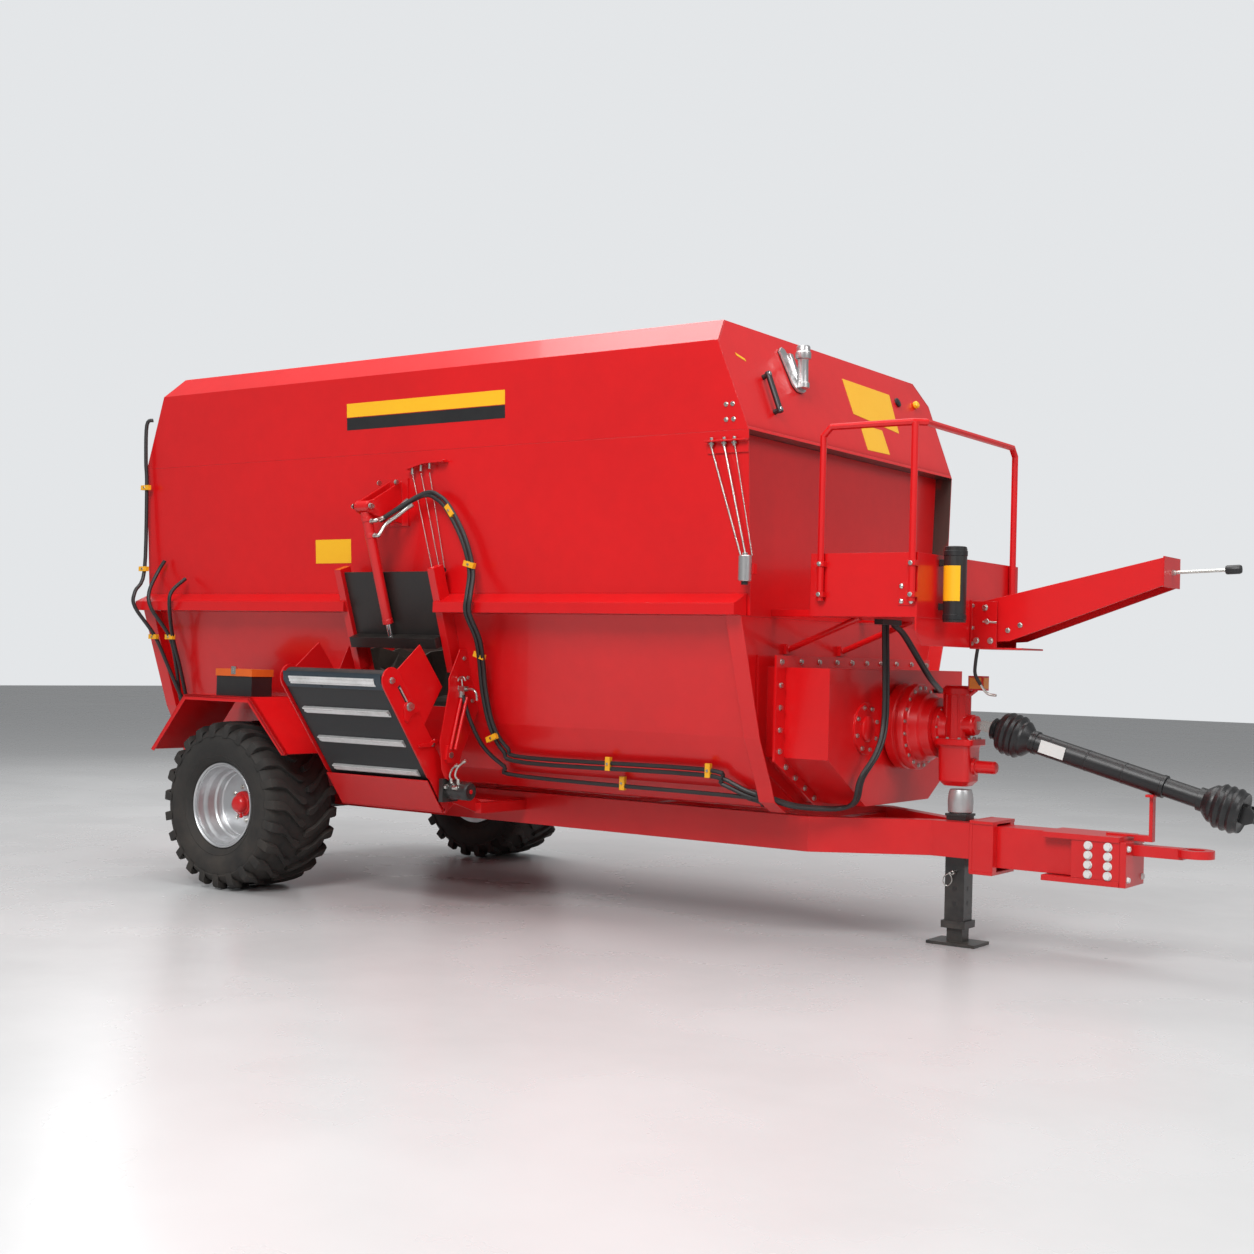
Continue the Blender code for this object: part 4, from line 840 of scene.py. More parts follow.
class Bolts:
    """Bolts gathered for one body, all made in one mesh."""

    def __init__(self) -> None:
        """Starts with none."""
        self.rows: list[tuple[Vector, Vector, float]] = []

    def put(self, place: Place, facing: Place, size: float = 0.011) -> None:
        """Adds a bolt at a place, looking along facing; size is the head's radius."""
        self.rows.append((at(*place), Vector(facing).normalized(), size))

    def ring(self, middle: Place, facing: Place, radius: float, count: int, size: float, turn: float = 0.0) -> None:
        """Adds a ring of bolts round a middle."""
        _, side, other = axes_from(facing)
        for index in range(count):
            angle = turn + math.tau * index / count
            spot = Vector(middle) + (side * math.cos(angle) + other * math.sin(angle)) * radius
            self.put(spot, facing, size)

    def done(self, name: str, body: str, finish: Finish, slot: Slot) -> None:
        """Makes the bolts' mesh and seats it on a body."""
        mesh = bpy.data.meshes.new(name)
        mesh.from_pydata([row[0] for row in self.rows], [], [])
        mesh.attributes.new("facing", "FLOAT_VECTOR", "POINT")
        mesh.attributes.new("size", "FLOAT", "POINT")
        mesh.attributes["facing"].data.foreach_set("vector", [part for row in self.rows for part in row[1]])
        mesh.attributes["size"].data.foreach_set("value", [row[2] for row in self.rows])
        form = Form(name)
        form.merge(PATTERNS.bolts.run(mesh, finish), finish)
        form.done(body, slot)


@dataclass
class Wheel:
    """One wheel: a tyre with barred tread, a deep dished rim and a hub with a round cap."""

    side: int
    name: str
    track: float = 1.078
    radius: float = 0.466
    half: float = 0.2495
    bars: int = 23

    def build(self) -> None:
        """Makes the three pieces."""
        body = "wheel_" + self.name
        middle = (0, self.side * self.track, self.radius)
        self._tyre(middle, body)
        self._rim(middle, body)
        self._hub(middle, body)

    def _tyre(self, middle: Place, body: str) -> None:
        """The carcass, its ridges, and the bars of the tread."""
        r, h = self.radius, self.half
        half = [
            (r - 0.022, 0.0), (r - 0.022, 0.11), (r - 0.026, 0.165), (r - 0.038, 0.205), (r - 0.056, 0.23),
            (r - 0.07, 0.24), (r - 0.075, 0.244), (r - 0.079, 0.244), (r - 0.083, 0.2415), (r - 0.102, h - 0.003),
            (0.345, h), (0.325, h), (0.305, 0.2465), (0.288, 0.24), (0.279, 0.2355), (0.275, 0.2365), (0.271, 0.2335),
            (0.255, 0.222), (0.247, 0.2135), (0.24, 0.206), (0.2375, 0.1998), (0.2165, 0.1995),
        ]
        profile = list(reversed(half)) + [(radius, -across) for radius, across in half[1:]]
        form = Form("Tyre_" + self.name)
        form.turned(profile, middle, (0, self.side, 0), Paint.TYRE, 96, closed=True)
        bars = PATTERNS.tread.run(self._bar(), Paint.TYRE, Count=self.bars)
        turn = Matrix.Diagonal((1, self.side, 1, 1))
        bars.transform(Matrix.Translation(at(*middle)) @ turn)
        form.merge(bars, Paint.TYRE)
        form.done(body, Slot.TYRE, "tyre_" + self.name, angle=28)

    def _bar(self) -> bpy.types.Mesh:
        """One bar of the tread: a shoulder block, a slanting neck and a round end near the middle."""
        r = self.radius
        stations = [
            (0.247, -0.006, 0.02, r - 0.072), (0.244, -0.005, 0.024, r - 0.04), (0.236, -0.003, 0.025, r - 0.018),
            (0.218, 0.0, 0.025, r - 0.007), (0.19, 0.004, 0.024, r - 0.003), (0.166, 0.01, 0.02, r - 0.001),
            (0.146, 0.024, 0.0155, r), (0.105, 0.062, 0.015, r), (0.07, 0.092, 0.0155, r), (0.054, 0.103, 0.0195, r),
            (0.036, 0.11, 0.0205, r), (0.02, 0.114, 0.019, r), (0.01, 0.116, 0.012, r - 0.001),
        ]
        form = Form("Bar")
        rings = []
        for across, run, wide, top in stations:
            low = max(top - 0.034, r - 0.088)
            section = [(-wide - 0.003, low), (-wide, top - 0.002), (-wide + 0.003, top),
                       (wide - 0.003, top), (wide, top - 0.002), (wide + 0.003, low)]
            ring = []
            for edge, radius in section:
                angle = -(run + edge) / r
                ring.append(Vector((radius * math.sin(angle), across, -radius * math.cos(angle))))
            rings.append(ring)
        form.loft(rings, Paint.TYRE)
        bmesh.ops.recalc_face_normals(form.mesh, faces=form.mesh.faces)
        mesh = bpy.data.meshes.new("Bar")
        form.mesh.to_mesh(mesh)
        form.mesh.free()
        return mesh

    def _rim(self, middle: Place, body: str) -> None:
        """The rim's flange, its stepped well and the disc at its back."""
        profile = [
            (0.2365, 0.2), (0.2368, 0.206), (0.2355, 0.2105), (0.232, 0.212), (0.2285, 0.2095), (0.2255, 0.203),
            (0.2225, 0.196), (0.214, 0.193), (0.212, 0.16), (0.209, 0.154), (0.199, 0.14), (0.197, 0.133),
            (0.1965, 0.095), (0.193, 0.089), (0.185, 0.084), (0.182, 0.076), (0.18, 0.052), (0.174, 0.045),
            (0.071, 0.045), (0.0705, 0.033), (0.207, 0.033), (0.2075, -0.211), (0.235, -0.2115), (0.2365, -0.2),
            (0.2158, -0.1999), (0.2158, 0.1999),
        ]
        form = Form("Rim_" + self.name)
        form.turned(profile, middle, (0, self.side, 0), Paint.RIM, 72, closed=True)
        form.done(body, Slot.RIM, "rim_" + self.name, angle=30)

    def _hub(self, middle: Place, body: str) -> None:
        """The hub, its round cap with a grease knob, and the wheel nuts."""
        profile = [
            (0.0005, 0.1115), (0.022, 0.111), (0.036, 0.106), (0.046, 0.096), (0.0505, 0.084), (0.051, 0.07),
            (0.056, 0.068), (0.058, 0.062), (0.069, 0.06), (0.07, 0.056), (0.07, 0.0327), (0.124, 0.0325),
            (0.124, 0.019), (0.069, 0.011), (0.069, -0.059), (0.0005, -0.06),
        ]
        form = Form("Hub_" + self.name)
        form.turned(profile, middle, (0, self.side, 0), Paint.RED, 48)
        x, y, z = middle
        foot = (x + 0.012, y + self.side * 0.08, z - 0.048)
        form.rod(foot, (foot[0] + 0.003, foot[1], foot[2] - 0.018), 0.006, Paint.RED, 12)
        form.turned([(0.004, 0), (0.011, 0.003), (0.0115, 0.01), (0.006, 0.014)],
                    (foot[0] + 0.003, foot[1], foot[2] - 0.015), (0.1, 0, -1), Paint.RED, 14)
        form.done(body, Slot.RED, "hub_" + self.name)
        nuts = Bolts()
        nuts.ring((x, y + self.side * 0.0452, z), (0, self.side, 0), 0.095, 8, 0.0105, 0.2)
        nuts.done("Nuts_" + self.name, body, Paint.ZINC, Slot.STEEL)


def side_face(x: float, z: float, off: float = 0.0) -> Place:
    """A place on the right face of the tub above the rail, off it by a distance."""
    if z < 2.4:
        y = 1.052 + (z - 1.553) * 0.053 / 0.847
    else:
        y = 1.105 + (z - 2.4) * 0.023 / 0.42
    return (x, -(y + off), z)


def low_face(x: float, z: float, off: float = 0.0) -> Place:
    """A place on the right wall between the rail and the wheel's height, off it by a distance."""
    slope = (1.052 - 0.86) / (1.553 - 0.985)
    lean = math.atan(slope)
    return (x, -(0.86 + slope * (z - 0.985)) - off * math.cos(lean), z - off * math.sin(lean))


PANEL_OUT, PANEL_UP = 0.9317, 0.3634


def front_face(y: float, z: float, off: float = 0.0) -> Place:
    """A place on the leaning front panel, off it by a distance."""
    return (3.25 - 0.39 * (z - 2.4) + PANEL_OUT * off, y, z + PANEL_UP * off)


@dataclass
class Decals:
    """The stripes and the bare stickers, each a thin sheet on its wall."""

    thick: float = 0.0006

    def build(self) -> None:
        """Makes all of them in one piece."""
        form = Form("Decals")
        self._side(form, (0.713, 1.82), (2.606, 2.68), Paint.YELLOW)
        self._side(form, (0.713, 1.82), (2.537, 2.603), Paint.INK)
        self._side(form, (0.46, 0.73), (1.82, 1.95), Paint.YELLOW)
        for corners in (
            ((0.084, 2.823), (0.622, 2.815), (0.579, 2.593), (0.08, 2.634)),
            ((0.116, 2.588), (0.369, 2.583), (0.365, 2.451), (0.108, 2.447)),
            ((-1.003, 2.779), (-0.925, 2.762), (-0.919, 2.748), (-0.997, 2.765)),
        ):
            self._front(form, corners)
        form.done("chassis", Slot.RED)

    def _side(self, form: Form, xs: tuple[float, float], zs: tuple[float, float], finish: Finish) -> None:
        """A sheet on the right side of the tub."""
        outline = [side_face(x, z, 0.0002) for x, z in ((xs[0], zs[0]), (xs[1], zs[0]), (xs[1], zs[1]),
                                                        (xs[0], zs[1]))]
        form.prism(outline, (0, -self.thick, 0), finish)

    def _front(self, form: Form, corners: tuple[tuple[float, float], ...]) -> None:
        """A yellow sheet on the leaning front panel."""
        outline = [front_face(y, z, 0.0002) for y, z in corners]
        form.prism(outline, (PANEL_OUT * self.thick, 0, PANEL_UP * self.thick), Paint.YELLOW)


@dataclass
class FrontPanel:
    """What is fixed to the leaning front panel: the lamp's socket, a handle, a disc and a knob."""

    def build(self) -> None:
        """Makes the pieces."""
        form = Form("Front_fittings")
        self._socket(form)
        self._handle(form)
        form.turned([(0.026, 0), (0.026, 0.01), (0.019, 0.013)], front_face(0.694, 2.781), (0.93, 0, 0.36),
                    Paint.GUARD)
        form.turned([(0.015, 0), (0.021, 0.006), (0.021, 0.022), (0.014, 0.028)], front_face(0.919, 2.796),
                    (0.93, 0, 0.36), Paint.YELLOW)
        self._chains(form)
        form.done("chassis", Slot.STEEL)

    @staticmethod
    def _socket(form: Form) -> None:
        """The silver bracket of the warning lamp, with its upright socket."""
        outline = [(-0.56, 2.858), (-0.53, 2.88), (-0.5, 2.872), (-0.44, 2.735), (-0.415, 2.715), (-0.415, 2.675),
                   (-0.45, 2.66), (-0.5, 2.662), (-0.53, 2.69)]
        form.prism([front_face(y, z, 0.0003) for y, z in outline], (0.0056, 0, 0.0022), Paint.GUARD)
        form.prism([front_face(y, z, 0.006) for y, z in outline], (0.0074, 0, 0.0029), Paint.ALLOY)
        foot = front_face(-0.462, 2.7, 0.03)
        form.turned(
            [(0.02, -0.03), (0.034, -0.022), (0.034, 0), (0.028, 0.006), (0.026, 0.11), (0.028, 0.116), (0.037, 0.12),
             (0.039, 0.128), (0.039, 0.15), (0.034, 0.156), (0.034, 0.176), (0.03, 0.184), (0.012, 0.186)],
            foot, UP, Paint.ALLOY, 32,
        )
        form.prism([front_face(-0.475, 2.69, 0.005), front_face(-0.449, 2.69, 0.005), front_face(-0.449, 2.86, 0.005),
                    front_face(-0.475, 2.86, 0.005)], (0.02, 0, 0), Paint.ALLOY)

    @staticmethod
    def _handle(form: Form) -> None:
        """The black grip with its two bright screws."""
        ends = [Vector(front_face(-0.8, z, 0.0)) for z in (2.69, 2.52)]
        way = Vector((PANEL_OUT, 0, PANEL_UP))
        for end in ends:
            form.rod(end, end + way * 0.04, 0.013, Paint.GUARD, 14)
            form.rod(end + way * 0.04, end + way * 0.046, 0.011, Paint.CHROME, 14, soft=0.002)
        route = [end + way * 0.032 for end in ends]
        past = (ends[0] - ends[1]).normalized() * 0.014
        form.tube([Vector(route[0]) + past, Vector(route[1]) - past], 0.0145, Paint.GUARD, 12)

    @staticmethod
    def _chains(form: Form) -> None:
        """The pin chains and the short hose that hang behind the handrail."""
        for y, top, low in ((0.239, 2.392, 2.165), (0.925, 2.392, 2.272)):
            form.rod((3.112, y, 2.399), (3.112, y, top - 0.035), 0.012, Paint.ZINC, 14)
            z = top - 0.035
            index = 0
            while z - 0.034 > low:
                turn = (0, 0.008, 0) if index % 2 else (0.008, 0, 0)
                side = Vector(turn)
                centre = Vector((3.118, y, z - 0.017))
                loop = [centre + Vector((0, 0, 0.017)), centre + side, centre - Vector((0, 0, 0.017)), centre - side]
                form.tube(loop + loop[:1], 0.0032, Paint.ZINC, 6, 4)
                z -= 0.026
                index += 1
        form.tube([(3.118, 0.239, 2.165), (3.122, 0.262, 2.06), (3.12, 0.312, 1.94), (3.112, 0.33, 1.8)], 0.01,
                  Paint.GUARD, 10)
        form.tube([(3.108, 0.64, 2.14), (3.125, 0.64, 2.18), (3.125, 0.7, 2.195), (3.108, 0.74, 2.19)], 0.018,
                  Paint.RED, 12)


@dataclass
class SideFittings:
    """What is bolted to the right side: gate fittings, wires, pipes, hose clamps and the level rods."""

    def build(self) -> None:
        """Makes the pieces."""
        form = Form("Side_fittings")
        self._cylinder(form)
        self._cheeks(form)
        self._wires(form)
        self._clamps(form)
        self._valve(form)
        self._level(form)
        form.done("chassis", Slot.RED, "gate_cylinder")
        self._gate()
        bolts = Bolts()
        for x in (1.012, 1.128):
            for y, z in ((-1.16, 2.235), (-1.345, 2.095)):
                bolts.put((x, y, z), (1 if x > 1.07 else -1, 0, 0), 0.012)
        for x, z in ((3.13, 2.45), (3.17, 2.45), (3.13, 2.52), (3.165, 2.52)):
            bolts.put(side_face(x, z, 0.0), RIGHT, 0.009)
        for z in (1.1, 1.22, 1.32):
            bolts.put((1.5032, low_face(0, z)[1] - 0.035, z), AHEAD, 0.009)
        bolts.put((1.5032, -1.102, 0.822), AHEAD, 0.017)
        bolts.done("Side_bolts", "chassis", Paint.ZINC, Slot.STEEL)

    @staticmethod
    def _cylinder(form: Form) -> None:
        """The collar of the gate's cylinder, its two bright pipes and its pin's washers."""
        low, top = Vector((1.07, -1.1245, 1.4929)), Vector((1.07, -1.3167, 2.0613))
        way = (top - low).normalized()
        form.turned([(0.0155, 0), (0.027, 0), (0.027, 0.61), (0.0155, 0.61)], low, way, Paint.RED, 32, True)
        for share, radius in ((0.0, 0.029), (0.78, 0.0285), (0.93, 0.03)):
            start = low + (top - low) * share
            form.turned(band(0.0265, radius, 0, 0.026), start, way, Paint.RED, 32, True)
        form.rod((1.034, -1.328, 2.0945), (1.106, -1.328, 2.0945), 0.03, Paint.RED, 28, soft=0.002)
        form.rod((1.008, -1.328, 2.0945), (1.132, -1.328, 2.0945), 0.012, Paint.ZINC, 20, soft=0.002)
        wall = {z: side_face(1.07, z)[1] for z in (2.02, 2.25)}
        ear = [(wall[2.25], 2.25), (wall[2.02], 2.02), (-1.3, 2.052), (-1.338, 2.066), (-1.356, 2.086),
               (-1.357, 2.104), (-1.342, 2.122), (-1.31, 2.132)]
        for x in (1.022, 1.106):
            form.sheet(ear, x, 0.012)
        foot = [side_face(x, z, -0.0005) for x, z in ((0.98, 2.01), (1.16, 2.01), (1.16, 2.262), (0.98, 2.262))]
        form.prism(foot, (0, -0.01, 0))
        for share, points in (
            (0.93, [(1.13, -1.25, 2.04), (1.19, -1.215, 2.085), (1.225, -1.195, 2.118)]),
            (0.8, [(1.14, -1.24, 2.005), (1.2, -1.208, 2.058), (1.24, -1.18, 2.098)]),
        ):
            port = low + (top - low) * share
            form.turned([(0.014, 0), (0.014, 0.014), (0.01, 0.016), (0.01, 0.03)], port + Vector((0.022, 0, 0)),
                        AHEAD, Paint.ZINC, 6)
            form.tube([port + Vector((0.04, 0, 0)), port + Vector((0.058, 0.004, 0.002))] + points, 0.0118,
                      Paint.ZINC, 12)
            form.rod(points[-1], Vector(points[-1]) + Vector((0.022, 0.01, 0.016)), 0.0145, Paint.ZINC, 6)

    @staticmethod
    def _cheeks(form: Form) -> None:
        """The two chute plates that hang beside the conveyor."""
        outline = [low_face(0, 1.367)[1:], (-1.04, 1.367), (-1.119, 1.214), (-1.116, 1.156), (-1.174, 0.896),
                   (-1.153, 0.747), (-1.126, 0.702), (-1.09, 0.69), (-1.056, 0.693), (-1.035, 0.711), (-1.008, 0.819),
                   low_face(0, 1.05)[1:]]
        for x in (0.694, 1.496):
            form.sheet(outline, x, 0.006)

    @staticmethod
    def _wires(form: Form) -> None:
        """The small shelf with three studs above the gate, the thin wires under it and the hook."""
        for x, z in ((1.215, 2.298), (1.275, 2.312), (1.335, 2.322)):
            y = side_face(x, z)[1]
            form.rod((x, y - 0.03, z + 0.01), (x, y - 0.03, z - 0.022), 0.0075, Paint.ZINC, 12)
        outline = [side_face(x, z) for x, z in ((1.18, 2.3), (1.18, 2.312), (1.3, 2.338), (1.44, 2.342),
                                                (1.44, 2.332), (1.3, 2.328))]
        form.prism(outline, (0, -0.045, 0))
        for top_x, low_x in ((1.215, 1.345), (1.275, 1.395), (1.335, 1.43)):
            y = side_face(top_x, 2.3)[1]
            form.tube([(top_x, y - 0.03, 2.28), (low_x, -1.096, 1.775)], 0.0022, Paint.ZINC, 6, 1)
        form.tube([(1.327, -1.105, 1.744), (1.345, -1.112, 1.742), (1.375, -1.11, 1.762), (1.412, -1.108, 1.77)],
                  0.009, Paint.ZINC, 8)
        form.rod((1.395, -1.11, 1.766), (1.44, -1.106, 1.776), 0.012, Paint.GUARD, 10)

    @staticmethod
    def _clamps(form: Form) -> None:
        """Yellow clamps with bright screws where the hoses are held."""
        for x, y, z, turn in (
            (1.508, -1.145, 2.068, 0.9), (1.648, -1.14, 1.795, 0.25), (1.655, -1.05, 1.334, 0.3),
            (1.632, -0.905, 0.915, -0.4), (2.315, -0.825, 0.804, math.pi / 2), (2.905, -0.825, 0.806, math.pi / 2),
            (2.365, -0.768, 0.708, math.pi / 2), (-0.912, -1.135, 2.285, 0.0), (-0.912, -1.132, 1.8, 0.0),
            (-0.7, -1.095, 1.397, 0.0), (-0.845, -1.098, 1.397, 0.0),
        ):
            across = Vector((math.cos(turn), 0, -math.sin(turn)))
            along = Vector((math.sin(turn), 0, math.cos(turn)))
            middle = Vector((x, y, z)) - across * 0.01
            wide, tall, deep = 0.034, 0.014, 0.0155
            base = [middle + across * a * wide + along * b * tall for a, b in ((-1, -1), (1, -1), (1, 1), (-1, 1))]
            form.prism([p + Vector((0, deep * 0.4, 0)) for p in base], (0, -deep * 1.4, 0), Paint.GOLD)
            head = middle + Vector((0, -deep, 0))
            form.rod(head, head + Vector((0, -0.006, 0)), 0.0065, Paint.ZINC, 6)

    @staticmethod
    def _valve(form: Form) -> None:
        """The two bright taps beside the conveyor, their pipe and the link bars on the cheek."""
        form.rod((1.512, -1.03, 1.118), (1.512, -1.03, 1.15), 0.0155, Paint.ZINC, 8)
        form.block((1.504, -1.048, 1.15), (1.545, -1.016, 1.176), Paint.ZINC)
        form.rod((1.524, -1.04, 1.176), (1.524, -1.048, 1.215), 0.0055, Paint.ZINC, 10)
        form.tube([(1.5, -1.048, 1.204), (1.512, -1.05, 1.22), (1.54, -1.05, 1.222), (1.55, -1.048, 1.204)], 0.0055,
                  Paint.ZINC, 8)
        form.tube([(1.545, -1.032, 1.163), (1.59, -1.034, 1.16), (1.612, -1.032, 1.14), (1.616, -1.03, 1.105)], 0.007,
                  Paint.ZINC, 10)
        form.block((1.47, -1.05, 1.158), (1.504, -1.024, 1.178), Paint.ZINC)
        for x, start, end in ((1.512, (-1.03, 1.12), (-1.106, 0.85)), (1.533, (-1.012, 1.12), (-1.092, 0.85))):
            form.rod((x, start[0], start[1]), (x, end[0], end[1]), 0.0088, Paint.RED, 12, soft=0.001)
        lug = [(-1.128, 0.872), (-1.14, 0.8), (-1.118, 0.778), (-1.082, 0.784), (-1.07, 0.85), (-1.085, 0.875)]
        form.sheet(lug, 1.5032, 0.012)

    @staticmethod
    def _level(form: Form) -> None:
        """The level rods near the front edge: bracket, bright rods, sleeve and weight."""
        y = side_face(3.1, 2.33)[1]
        form.block((3.03, y - 0.034, 2.348), (3.252, y, 2.356))
        form.block((3.03, y - 0.006, 2.296), (3.252, y, 2.356))
        for x in (3.062, 3.13, 3.185):
            form.rod((x, y - 0.02, 2.368), (x, y - 0.02, 2.326), 0.0085, Paint.ZINC, 12)
            form.rod((x, y - 0.02, 2.336), (x, y - 0.02, 2.343), 0.0135, Paint.ZINC, 6)
        for top, low, radius in ((3.062, 3.236, 0.0045), (3.13, 3.262, 0.0045), (3.185, 3.296, 0.0025)):
            form.tube([(top, y - 0.02, 2.328), (top + 0.012, y - 0.022, 2.29), (low, -1.124, 1.822)], radius,
                      Paint.ZINC, 8)
        form.rod((3.256, -1.118, 1.706), (3.256, -1.118, 1.824), 0.03, Paint.ALLOY, 24, soft=0.004)
        form.rod((3.256, -1.118, 1.824), (3.256, -1.118, 1.836), 0.012, Paint.ZINC, 12)
        form.rod((3.256, -1.118, 1.69), (3.256, -1.118, 1.706), 0.016, Paint.GUARD, 12)
        form.block((3.222, -1.1, 1.74), (3.29, -1.066, 1.79))

    @staticmethod
    def _gate() -> None:
        """The chromed rod of the gate's cylinder with its eye."""
        form = Form("Gate_rod")
        start, end = Vector((1.07, -1.1005, 1.4218)), Vector((1.07, -1.1245, 1.4929))
        form.rod(start, start + (end - start).normalized() * 0.49, 0.0146, Paint.CHROME, 24)
        form.turned([(0.019, -0.02), (0.021, -0.017), (0.021, 0.017), (0.019, 0.02)], (1.07, -1.096, 1.413), AHEAD,
                    Paint.GATE, 20)
        form.rod((1.028, -1.096, 1.413), (1.112, -1.096, 1.413), 0.009, Paint.ZINC, 14)
        form.done("gate", Slot.STEEL)


@dataclass
class Conveyor:
    """The belt with its bright slats, the side plates, the top strip, tensioners, and the motor's pipes."""

    x: float = 1.09
    pivot_y: float = -1.075
    pivot_z: float = 0.64
    length: float = 0.7
    tilt: float = math.radians(36.7)
    belt: float = 0.051
    slats: int = 9
    belt_half: float = 0.35
    strip_half: float = 0.345
    slat_half: float = 0.3005
    apron_half: float = 0.36
    side_in: float = 0.356
    side_out: float = 0.3642

    def place(self, along: float, out: float, x: float | None = None) -> Place:
        """A place on the conveyor, along its length and outwards."""
        y = self.pivot_y - math.sin(self.tilt) * along - math.cos(self.tilt) * out
        z = self.pivot_z + math.cos(self.tilt) * along - math.sin(self.tilt) * out
        return (self.x if x is None else x, y, z)

    def plate(self, form: Form, outline: Profile, x: float, thick: float, finish: Finish = Paint.RED) -> None:
        """A plate or bar across the conveyor, from places along it and outwards."""
        form.prism([self.place(along, out, x) for along, out in outline], (thick, 0, 0), finish)

    def build(self) -> None:
        """Makes the pieces."""
        form = Form("Belt")
        turns = [math.pi * step / 12 for step in range(13)]
        loop = [(self.length + self.belt * math.sin(t), self.belt * math.cos(t)) for t in turns]
        loop += [(-self.belt * math.sin(t), -self.belt * math.cos(t)) for t in turns]
        self.plate(form, loop, self.x - self.belt_half, 2 * self.belt_half, Paint.BELT)
        run = 2 * self.length + 2 * math.pi * self.belt
        for index in range(self.slats):
            self._slat(form, (0.15 + index * run / self.slats) % run)
        form.done("conveyor", Slot.BELT, "conveyor_belt")
        self._frame()
        form = Form("Conveyor_fittings")
        top = self.length
        strip = [(top - 0.022, 0.053), (top - 0.022, 0.055), (top + 0.025, 0.056), (top + 0.063, 0.033),
                 (top + 0.061, 0.031), (top + 0.024, 0.053)]
        self.plate(form, strip, self.x - self.strip_half, 2 * self.strip_half, Paint.SLATE)
        for side in (1, -1):
            self._tensioner(form, side)
        self._motor(form)
        form.done("conveyor", Slot.RED)
        bolts = Bolts()
        for side in (1, -1):
            face = self.x + side * self.side_out
            for along, out, size in ((top - 0.18, -0.024, 0.019), (top, 0.0, 0.014), (0.25, -0.06, 0.01)):
                bolts.put(self.place(along, out, face + side * (0.008 if size > 0.015 else 0)), (side, 0, 0), size)
        bolts.done("Conveyor_bolts", "conveyor", Paint.ZINC, Slot.STEEL)

    def _frame(self) -> None:
        """Side plates with round tops and fins, the shield below, the cross tubes and the pins."""
        form = Form("Conveyor_frame")
        turns = [math.radians(90 - 180 * step / 10) for step in range(11)]
        crown = [(self.length + 0.067 * math.cos(t), 0.067 * math.sin(t)) for t in turns]
        outline = [(-0.075, -0.07), (-0.075, 0.062), (0.12, 0.062), (0.135, 0.067)] + crown + [(0.3, -0.067)]
        fin = [(self.length - 0.33, -0.06), (self.length + 0.02, -0.064), (self.length + 0.028, -0.27),
               (self.length - 0.25, -0.285)]
        for side in (1, -1):
            near = self.x + side * self.side_in
            self.plate(form, outline, near, side * 0.008)
            self.plate(form, fin, near + side * 0.002, side * 0.005)
            form.rod(self.place(0, 0, near + side * 0.004), self.place(0, 0, near + side * 0.0209), 0.02, Paint.RED,
                     24)
        # boards between the side plates: from and to along, from and to outwards
        for low, high, near, far in ((-0.088, 0.118, 0.072, 0.078), (-0.11, -0.064, -0.078, 0.06),
                                     (-0.11, 0.04, -0.115, -0.078), (-0.094, -0.082, 0.055, 0.078)):
            corners = [(low, near), (high, near), (high, far), (low, far)]
            self.plate(form, corners, self.x - self.apron_half, 2 * self.apron_half)
        form.done("conveyor", Slot.RED, "conveyor_frame")

    def _slat(self, form: Form, run: float) -> None:
        """One bright slat, a rib on a foot, at a distance along the belt."""
        bend = math.pi * self.belt
        if run < self.length:
            along, turn = run, 0.0
        elif run < self.length + bend:
            along, turn = self.length, (run - self.length) / self.belt
        elif run < 2 * self.length + bend:
            along, turn = 2 * self.length + bend - run, math.pi
        else:
            along, turn = 0.0, (run - 2 * self.length) / self.belt
        outline = [(-0.0235, -0.0005), (0.0175, -0.0005), (0.0175, 0.0165), (0.01, 0.0165), (0.004, 0.012),
                   (-0.012, 0.012), (-0.015, 0.005), (-0.0235, 0.0045)]
        points = []
        for side, out in outline:
            radial = self.belt + out
            points.append((along + math.sin(turn) * radial + math.cos(turn) * side,
                           math.cos(turn) * radial - math.sin(turn) * side))
        self.plate(form, points, self.x - self.slat_half, 2 * self.slat_half, Paint.SLAT)

    def _tensioner(self, form: Form, side: int) -> None:
        """Slot drawn as a black sheet of painted shade, screw and holding plate of the belt's tensioner on one side
        plate, with the lower hook.
        """
        face = self.x + side * self.side_out
        top = self.length
        # The slot is a thin black sheet: painted shade standing in for the opening.
        slot = [(top - 0.052, -0.014), (top - 0.162, -0.016), (top - 0.162, -0.036), (top - 0.052, -0.034)]
        self.plate(form, slot, face, side * 0.001, Paint.INK)
        form.rod(self.place(top - 0.059, -0.024, face + side * 0.005),
                 self.place(top - 0.151, -0.026, face + side * 0.005), 0.0045, Paint.ZINC, 10)
        plate = [(0.155, -0.052), (0.147, -0.006), (0.159, 0.012), (0.187, 0.022), (0.215, 0.04), (0.235, 0.036),
                 (0.239, 0.018), (0.225, -0.002), (0.235, -0.046), (0.247, -0.06), (0.242, -0.074), (0.225, -0.076),
                 (0.197, -0.062)]
        plate = [(top - down, out) for down, out in plate]
        self.plate(form, plate, face, side * 0.008)
        hook = [(0.318, 0.034), (0.304, 0.036), (0.286, 0.01), (0.262, -0.02), (0.252, -0.06), (0.232, -0.09),
                (0.246, -0.098), (0.268, -0.082), (0.274, -0.04), (0.3, -0.006)]
        self.plate(form, hook, face, side * 0.009)

